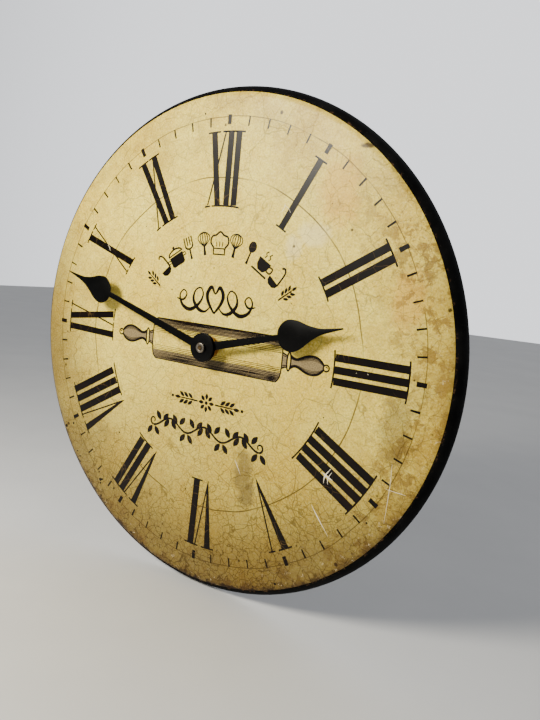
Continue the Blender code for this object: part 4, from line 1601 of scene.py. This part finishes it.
# The clip windows in the side walls: heights, half height, depth, and how far out they go.
CLIPS_UP = (-4.0, 16.0)
CLIP_HALF = 3.0
CLIP_DEPTH = 0.5
CLIP_OUT = (1.4, 3.4)
# The hanger: its keyhole's centre, the two radii of the hole, its own radius, and its thickness.
KEYHOLE = (0.0, 34.0)
KEYHOLE_WIDE = 4.2
KEYHOLE_NARROW = 2.3
KEYHOLE_RISE = 2.9
HANGER_RADIUS = 9.0
HANGER_OUT = (2.0, 4.0)
# The cover: its knob window, and its label with the tray that holds it.
WINDOW_RADIUS = 4.8
LABEL_FLOOR = 0.3
LABEL_BACK = 0.18
LABEL_CENTRE = (8.0, 8.5)
TRAY_LOW = (-8.0, -7.0)
TRAY_HIGH = (24.0, 23.0)


def at_square_corner(first, second):
    """Whether an edge is one of the upright edges at the corners of the case."""
    far = all(abs(part) > CASE_HALF - 0.01 for part in first.xy)
    return far and is_upright(first, second)


def engrave(piece, outlines, depth=0.5):
    """Sink shapes into a back face at the wall."""
    for outline in outlines:
        cut(piece, filled([outline], -1.0, depth))


def oblong(x, y, wide, tall):
    """The four corners of a flat oblong round a centre."""
    return [(x - wide / 2, y - tall / 2), (x + wide / 2, y - tall / 2),
            (x + wide / 2, y + tall / 2), (x - wide / 2, y + tall / 2)]


class CLOCK_OT_movement_case(bpy.types.Operator):
    """Mould the movement case with its battery bay, clip windows and keyhole hanger"""
    bl_idname = "clock.movement_case"
    bl_label = "Movement case"

    def hanger(self):
        spread = math.degrees(math.asin(KEYHOLE_NARROW / KEYHOLE_WIDE))
        top = (KEYHOLE[0], KEYHOLE[1] + KEYHOLE_RISE)
        outline = [(-HANGER_RADIUS, 27.2), (HANGER_RADIUS, 27.2)]
        outline += arc(HANGER_RADIUS, 90.0, -90.0, 24, KEYHOLE)
        keyhole = arc(KEYHOLE_WIDE, spread, 360.0 - spread, 24, KEYHOLE)
        keyhole += arc(KEYHOLE_NARROW, -90.0, 90.0, 10, top)
        tab = filled([outline, keyhole], *HANGER_OUT)
        soften(tab, 0.3, 2)
        return tab

    def finger_notch(self):
        """A round bite out of the lower wall, to lift the cell."""
        notch = cylinder(7.5, -29.5, -26.4, steps=40)
        notch.rotation_euler = (math.radians(-90.0), 0.0, 0.0)
        apply_place(notch)
        return notch

    def hollows(self):
        """What is cut from the case: the cover's seat, the two rooms, the bush hole and the notch."""
        edge = CASE_HALF + 1.0
        rooms = [
            block((-edge, COVER_FOOT - 0.2, -1.0), (edge, edge, COVER_THICKNESS + 0.1)),
            block((-CAVITY_HALF, PARTITION[1], -1.0),
                  (CAVITY_HALF, CAVITY_HALF, CASE_DEPTH - WALL)),
            block((-CAVITY_HALF, BAY_FOOT, -1.0), (CAVITY_HALF, PARTITION[0], BAY_FLOOR)),
            cylinder(BUSH_HOLE, 12.0, CASE_DEPTH + 1.0, steps=48),
            self.finger_notch(),
        ]
        low, high = (COVER_THICKNESS + out for out in CLIP_OUT)
        for x in (-CASE_HALF, CASE_HALF):
            for y in CLIPS_UP:
                rooms.append(block((x - CLIP_DEPTH, y - CLIP_HALF, low),
                                   (x + CLIP_DEPTH, y + CLIP_HALF, high)))
        return rooms

    def additions(self):
        """What is joined on: two ribs on the bay's floor, the hanger and its two gussets."""
        parts = [block((x - 0.7, BAY_FOOT - 0.2, BAY_FLOOR - 0.3),
                       (x + 0.7, PARTITION[0] + 0.2, BAY_FLOOR + 0.2)) for x in (-15.0, 15.0)]
        parts.append(self.hanger())
        return parts + [block((x - 0.6, CASE_HALF - 0.4, 3.6), (x + 0.6, CASE_HALF + 3.0, 7.0))
                        for x in (-7.6, 7.6)]

    def execute(self, context):
        case = block((-CASE_HALF, -CASE_HALF, 0.0), (CASE_HALF, CASE_HALF, CASE_DEPTH))
        bevel_edges(case, at_square_corner, CORNER, 5)
        bevel_rims(case, [0.0, CASE_DEPTH], 0.5, 3)
        for tool in self.hollows():
            cut(case, tool)
        for part in self.additions():
            cut(case, part, 'UNION')
        smooth(case)
        hang(case, "moulded_case", "case", "body", ["movement_case"])
        return {'FINISHED'}


def arrow(start, end, head, middle, band, point):
    """A band round a middle that ends in an arrow head: band and point are radii, from the outside."""
    outer = arc(band[0], start, end, 12, middle)
    inner = arc(band[1], end, start, 12, middle)
    tip = [Vector(middle) + polar(radius, angle)
           for radius, angle in zip(point, (end, head, end))]
    return outer + tip + inner


class CLOCK_OT_back_cover(bpy.types.Operator):
    """Mould the back cover with its knob window, setting arrows and battery marks"""
    bl_idname = "clock.back_cover"
    bl_label = "Back cover"

    def setting_arrow(self, start, end):
        head = end + math.copysign(20.0, end - start)
        return arrow(start, end, head, KNOB_PLACE, (7.3, 6.3), (8.2, 6.8, 5.5))

    def panel(self, shrink, back, front):
        """A plate with round corners, for the label and for the tray that holds it."""
        low = [part + shrink for part in TRAY_LOW]
        high = [part - shrink for part in TRAY_HIGH]
        panel = block((*low, back), (*high, front))
        bevel_edges(panel, is_upright, 1.5, 4)
        return panel

    def label_art(self):
        """A cell with its two ends marked, and two arrows for setting the hands."""
        x, y = LABEL_CENTRE
        signs = [(-8.0, -8.0, 3.0, 0.7), (8.0, -8.0, 3.0, 0.7), (8.0, -8.0, 0.7, 3.0)]
        cell = [(0.0, -4.6, 17.0, 0.6), (0.0, -11.4, 17.0, 0.6), (-11.8, -8.0, 0.6, 7.4),
                (11.8, -8.0, 0.6, 7.4), (12.8, -8.0, 1.4, 2.8)]
        corners = [(side, up, 3.6, 0.6) for up in (-4.6, -11.4) for side in (-10.3, 10.3)]
        shapes = [oblong(x + across, y + up, wide, tall)
                  for across, up, wide, tall in signs + cell + corners]
        middle = (x, y + 5.0)
        for side in (-1.0, 1.0):
            shapes.append(arrow(side * 130.0, side * 20.0, side * 2.0, middle, (5.4, 4.6),
                                (6.3, 5.0, 3.7)))
        return [filled([shape], LABEL_BACK - 0.03, LABEL_BACK + 0.05) for shape in shapes]

    def execute(self, context):
        cover = block((-CASE_HALF, COVER_FOOT, 0.0), (CASE_HALF, CASE_HALF, COVER_THICKNESS))
        bevel_edges(cover, at_square_corner, CORNER, 5)
        bevel_edges(cover, lambda first, second: first.z < 0.01 and second.z < 0.01, 0.4, 3)
        cut(cover, cylinder(WINDOW_RADIUS, -1.0, COVER_THICKNESS + 1.0, KNOB_PLACE, 48))
        cut(cover, self.panel(0.0, -1.0, LABEL_FLOOR))
        engrave(cover, [self.setting_arrow(100.0, 190.0), self.setting_arrow(80.0, -10.0)])
        engrave(cover, [oblong(-23.5, -8.6, 3.6, 0.8), oblong(23.5, -9.2, 3.6, 0.8),
                        oblong(23.5, -9.2, 0.8, 3.6)])
        smooth(cover)
        hang(cover, "moulded_back_cover", "case", "body", ["movement_back_cover"])
        label = self.panel(0.4, LABEL_BACK, LABEL_FLOOR)
        hang(label, "cover_label", "label", "body")
        hang(merged(self.label_art()), "cover_label_art", "ink", "body")
        return {'FINISHED'}


# The cell's outline from its flat end to its button, as place along the axis and radius, and
# where its middle lies.
CELL_OUTLINE = ((-25.25, 0.0), (-25.25, 4.3), (-24.95, 5.0), (-24.95, 6.2), (-24.75, 6.8),
                (-24.3, 7.1), (22.9, 7.1), (23.5, 6.9), (23.8, 6.4), (23.8, 5.6), (23.5, 5.0),
                (23.5, 3.1), (23.8, 2.85), (24.9, 2.75), (25.25, 2.4), (25.25, 0.0))
CELL_AXIS = (0.0, -19.8, 7.5)


class CLOCK_OT_cell(bpy.types.Operator):
    """Make the cell with its rolled ends, button and printed sleeve"""
    bl_idname = "clock.cell"
    bl_label = "Cell"

    def execute(self, context):
        cell = lathe(CELL_OUTLINE, 64, 'X')
        cell.location = Vector(CELL_AXIS) * MM
        apply_place(cell)
        smooth(cell)
        hang(cell, "sleeved_cell", "cell", "cell", ["battery"])
        return {'FINISHED'}


# Finishes for the pieces that keep their shape.
NODE_FINISHES = {
    "gear_bridge": "natural",
    "threaded_bush": "brass",
    "rubber_washer": "rubber",
    "mounting_washer": "brass",
    "mounting_nut": "brass",
    "circuit_board": "resist",
    "quartz_crystal": "nickel",
    "chip_blob": "case",
    "coil_bobbin": "natural",
    "coil_winding": "winding",
    "coil_core": "lamination",
    "stator": "lamination",
    "battery_contact_negative": "nickel",
    "battery_contact_positive": "nickel",
    "rotor": "magnet",
    "intermediate_wheel": "natural",
    "second_wheel": "natural",
    "third_wheel": "natural",
    "center_wheel": "brass",
    "minute_arbor": "aged_brass",
    "motion_wheel": "natural",
    "hour_wheel": "natural",
    "setting_knob": "natural",
}


class CLOCK_OT_finishes(bpy.types.Operator):
    """Give every piece that keeps its shape its own finish"""
    bl_idname = "clock.finishes"
    bl_label = "Finishes"

    def execute(self, context):
        for node, finish in NODE_FINISHES.items():
            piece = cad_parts[node]
            if not piece.material_slots:
                piece.data.materials.append(None)
            for slot in piece.material_slots:
                slot.material = finish_of(finish)
        return {'FINISHED'}


# Stage, in metres and degrees.
FLOOR_SIZE = 6.0
FLOOR_GAP = 0.0005
# Each lamp: place, size, the setting for its power, and colour. Both shine at the hand axis.
LAMPS = {
    "key_lamp": ((-0.22, -0.54, 0.33), 0.24, "key_power", (1.0, 0.95, 0.82)),
    "side_lamp": ((0.9, -0.5, 0.5), 0.8, "side_power", (0.85, 0.92, 1.0)),
}
ROOM_COLOUR = (0.94, 0.96, 1.0, 1.0)
ROOM_DIM_TO = 0.1
ROOM_PALE_FROM = 0.75
CAMERA_PLACE = (0.2619, -0.3416, 0.0540)
CAMERA_AZIMUTH = 32.09
CAMERA_ELEVATION = 7.84
CAMERA_ROLL = 5.55
CAMERA_LENS = 32.08
CAMERA_FILM = 36.0


class CLOCK_OT_stage(bpy.types.Operator):
    """Make the pale floor, the soft lights and the camera"""
    bl_idname = "clock.stage"
    bl_label = "Stage"

    def floor(self):
        height = -BOARD_RADIUS * MM - FLOOR_GAP
        bpy.ops.mesh.primitive_plane_add(size=FLOOR_SIZE, location=(0.0, 0.0, height))
        floor = bpy.context.object
        apply_place(floor)
        floor.name = "stage_floor"
        floor.data.materials.append(finish_of("stage"))

    def lamp(self, name, place, size, power, tint):
        bpy.ops.object.light_add(type='AREA', location=place)
        lamp = bpy.context.object
        lamp.name = name
        lamp.data.shape = 'DISK'
        lamp.data.size = size
        lamp.data.energy = power
        lamp.data.color = tint
        lamp.rotation_euler = Vector(place).to_track_quat('Z', 'Y').to_euler()
        lamp.visible_camera = False

    def room(self):
        """The room is pale behind the clock and dim in front of it."""
        world = bpy.data.worlds.new("pale_room")
        bpy.context.scene.world = world
        world.use_nodes = True
        nodes = world.node_tree.nodes
        links = world.node_tree.links
        direction = nodes.new('ShaderNodeTexCoord')
        parts = nodes.new('ShaderNodeSeparateXYZ')
        spread = nodes.new('ShaderNodeMapRange')
        spread.interpolation_type = 'SMOOTHSTEP'
        settings = stage_settings()
        for name, value in (("From Min", ROOM_DIM_TO), ("From Max", ROOM_PALE_FROM),
                            ("To Min", settings.front_light), ("To Max", settings.room_light)):
            spread.inputs[name].default_value = value
        background = nodes["Background"]
        background.inputs["Color"].default_value = ROOM_COLOUR
        links.new(direction.outputs["Generated"], parts.inputs[0])
        links.new(parts.outputs["Y"], spread.inputs["Value"])
        links.new(spread.outputs["Result"], background.inputs["Strength"])

    def camera(self):
        """The viewer stands close, to the right of the clock and a little above its centre."""
        azimuth = math.radians(CAMERA_AZIMUTH)
        elevation = math.radians(CAMERA_ELEVATION)
        roll = math.radians(CAMERA_ROLL)
        backward = Vector((math.sin(azimuth) * math.cos(elevation),
                           -math.cos(azimuth) * math.cos(elevation), math.sin(elevation)))
        place = Vector(CAMERA_PLACE) - Vector((0.0, FACE * MM, 0.0))
        bpy.ops.object.camera_add(location=place)
        camera = bpy.context.object
        camera.rotation_mode = 'QUATERNION'
        level = backward.to_track_quat('Z', 'Y')
        camera.rotation_quaternion = level @ Matrix.Rotation(roll, 3, 'Z').to_quaternion()
        camera.data.sensor_width = CAMERA_FILM
        camera.data.lens = CAMERA_LENS
        bpy.context.scene.camera = camera

    def execute(self, context):
        self.floor()
        for name, (place, size, power, tint) in LAMPS.items():
            self.lamp(name, place, size, getattr(stage_settings(), power), tint)
        self.room()
        self.camera()
        return {'FINISHED'}


MAKERS = (
    CLOCK_OT_board,
    CLOCK_OT_sheet,
    CLOCK_OT_numerals,
    CLOCK_OT_minute_track,
    CLOCK_OT_rolling_pin,
    CLOCK_OT_arch,
    CLOCK_OT_flourish,
    CLOCK_OT_borders,
    CLOCK_OT_spots,
    CLOCK_OT_scratches,
    CLOCK_OT_hands,
    CLOCK_OT_hand_nut,
    CLOCK_OT_movement_case,
    CLOCK_OT_back_cover,
    CLOCK_OT_cell,
    CLOCK_OT_finishes,
    CLOCK_OT_stage,
)


class CLOCK_PT_panel(bpy.types.Panel):
    """Lists the makers of the clock's looks"""
    bl_idname = "CLOCK_PT_panel"
    bl_label = "Wall Clock"
    bl_space_type = 'VIEW_3D'
    bl_region_type = 'UI'
    bl_category = "Clock"

    def draw(self, context):
        for maker in MAKERS:
            self.layout.operator(maker.bl_idname)
        for group in (context.scene.clock_sizes, context.scene.clock_colours,
                      context.scene.clock_stage):
            for name in group.__annotations__:
                self.layout.prop(group, name)


GROUPS = {"clock_sizes": ClockSizes, "clock_colours": ClockColours, "clock_stage": ClockStage}


def register():
    for name, group in GROUPS.items():
        bpy.utils.register_class(group)
        setattr(bpy.types.Scene, name, PointerProperty(type=group))
    for maker in MAKERS:
        bpy.utils.register_class(maker)
    bpy.utils.register_class(CLOCK_PT_panel)


def unregister():
    bpy.utils.unregister_class(CLOCK_PT_panel)
    for maker in reversed(MAKERS):
        bpy.utils.unregister_class(maker)
    for name, group in GROUPS.items():
        delattr(bpy.types.Scene, name)
        bpy.utils.unregister_class(group)


def main():
    register()
    bpy.ops.object.select_all(action='DESELECT')
    for maker in MAKERS:
        group, name = maker.bl_idname.split(".")
        getattr(getattr(bpy.ops, group), name)()
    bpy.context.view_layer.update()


if __name__ == "__main__":
    main()
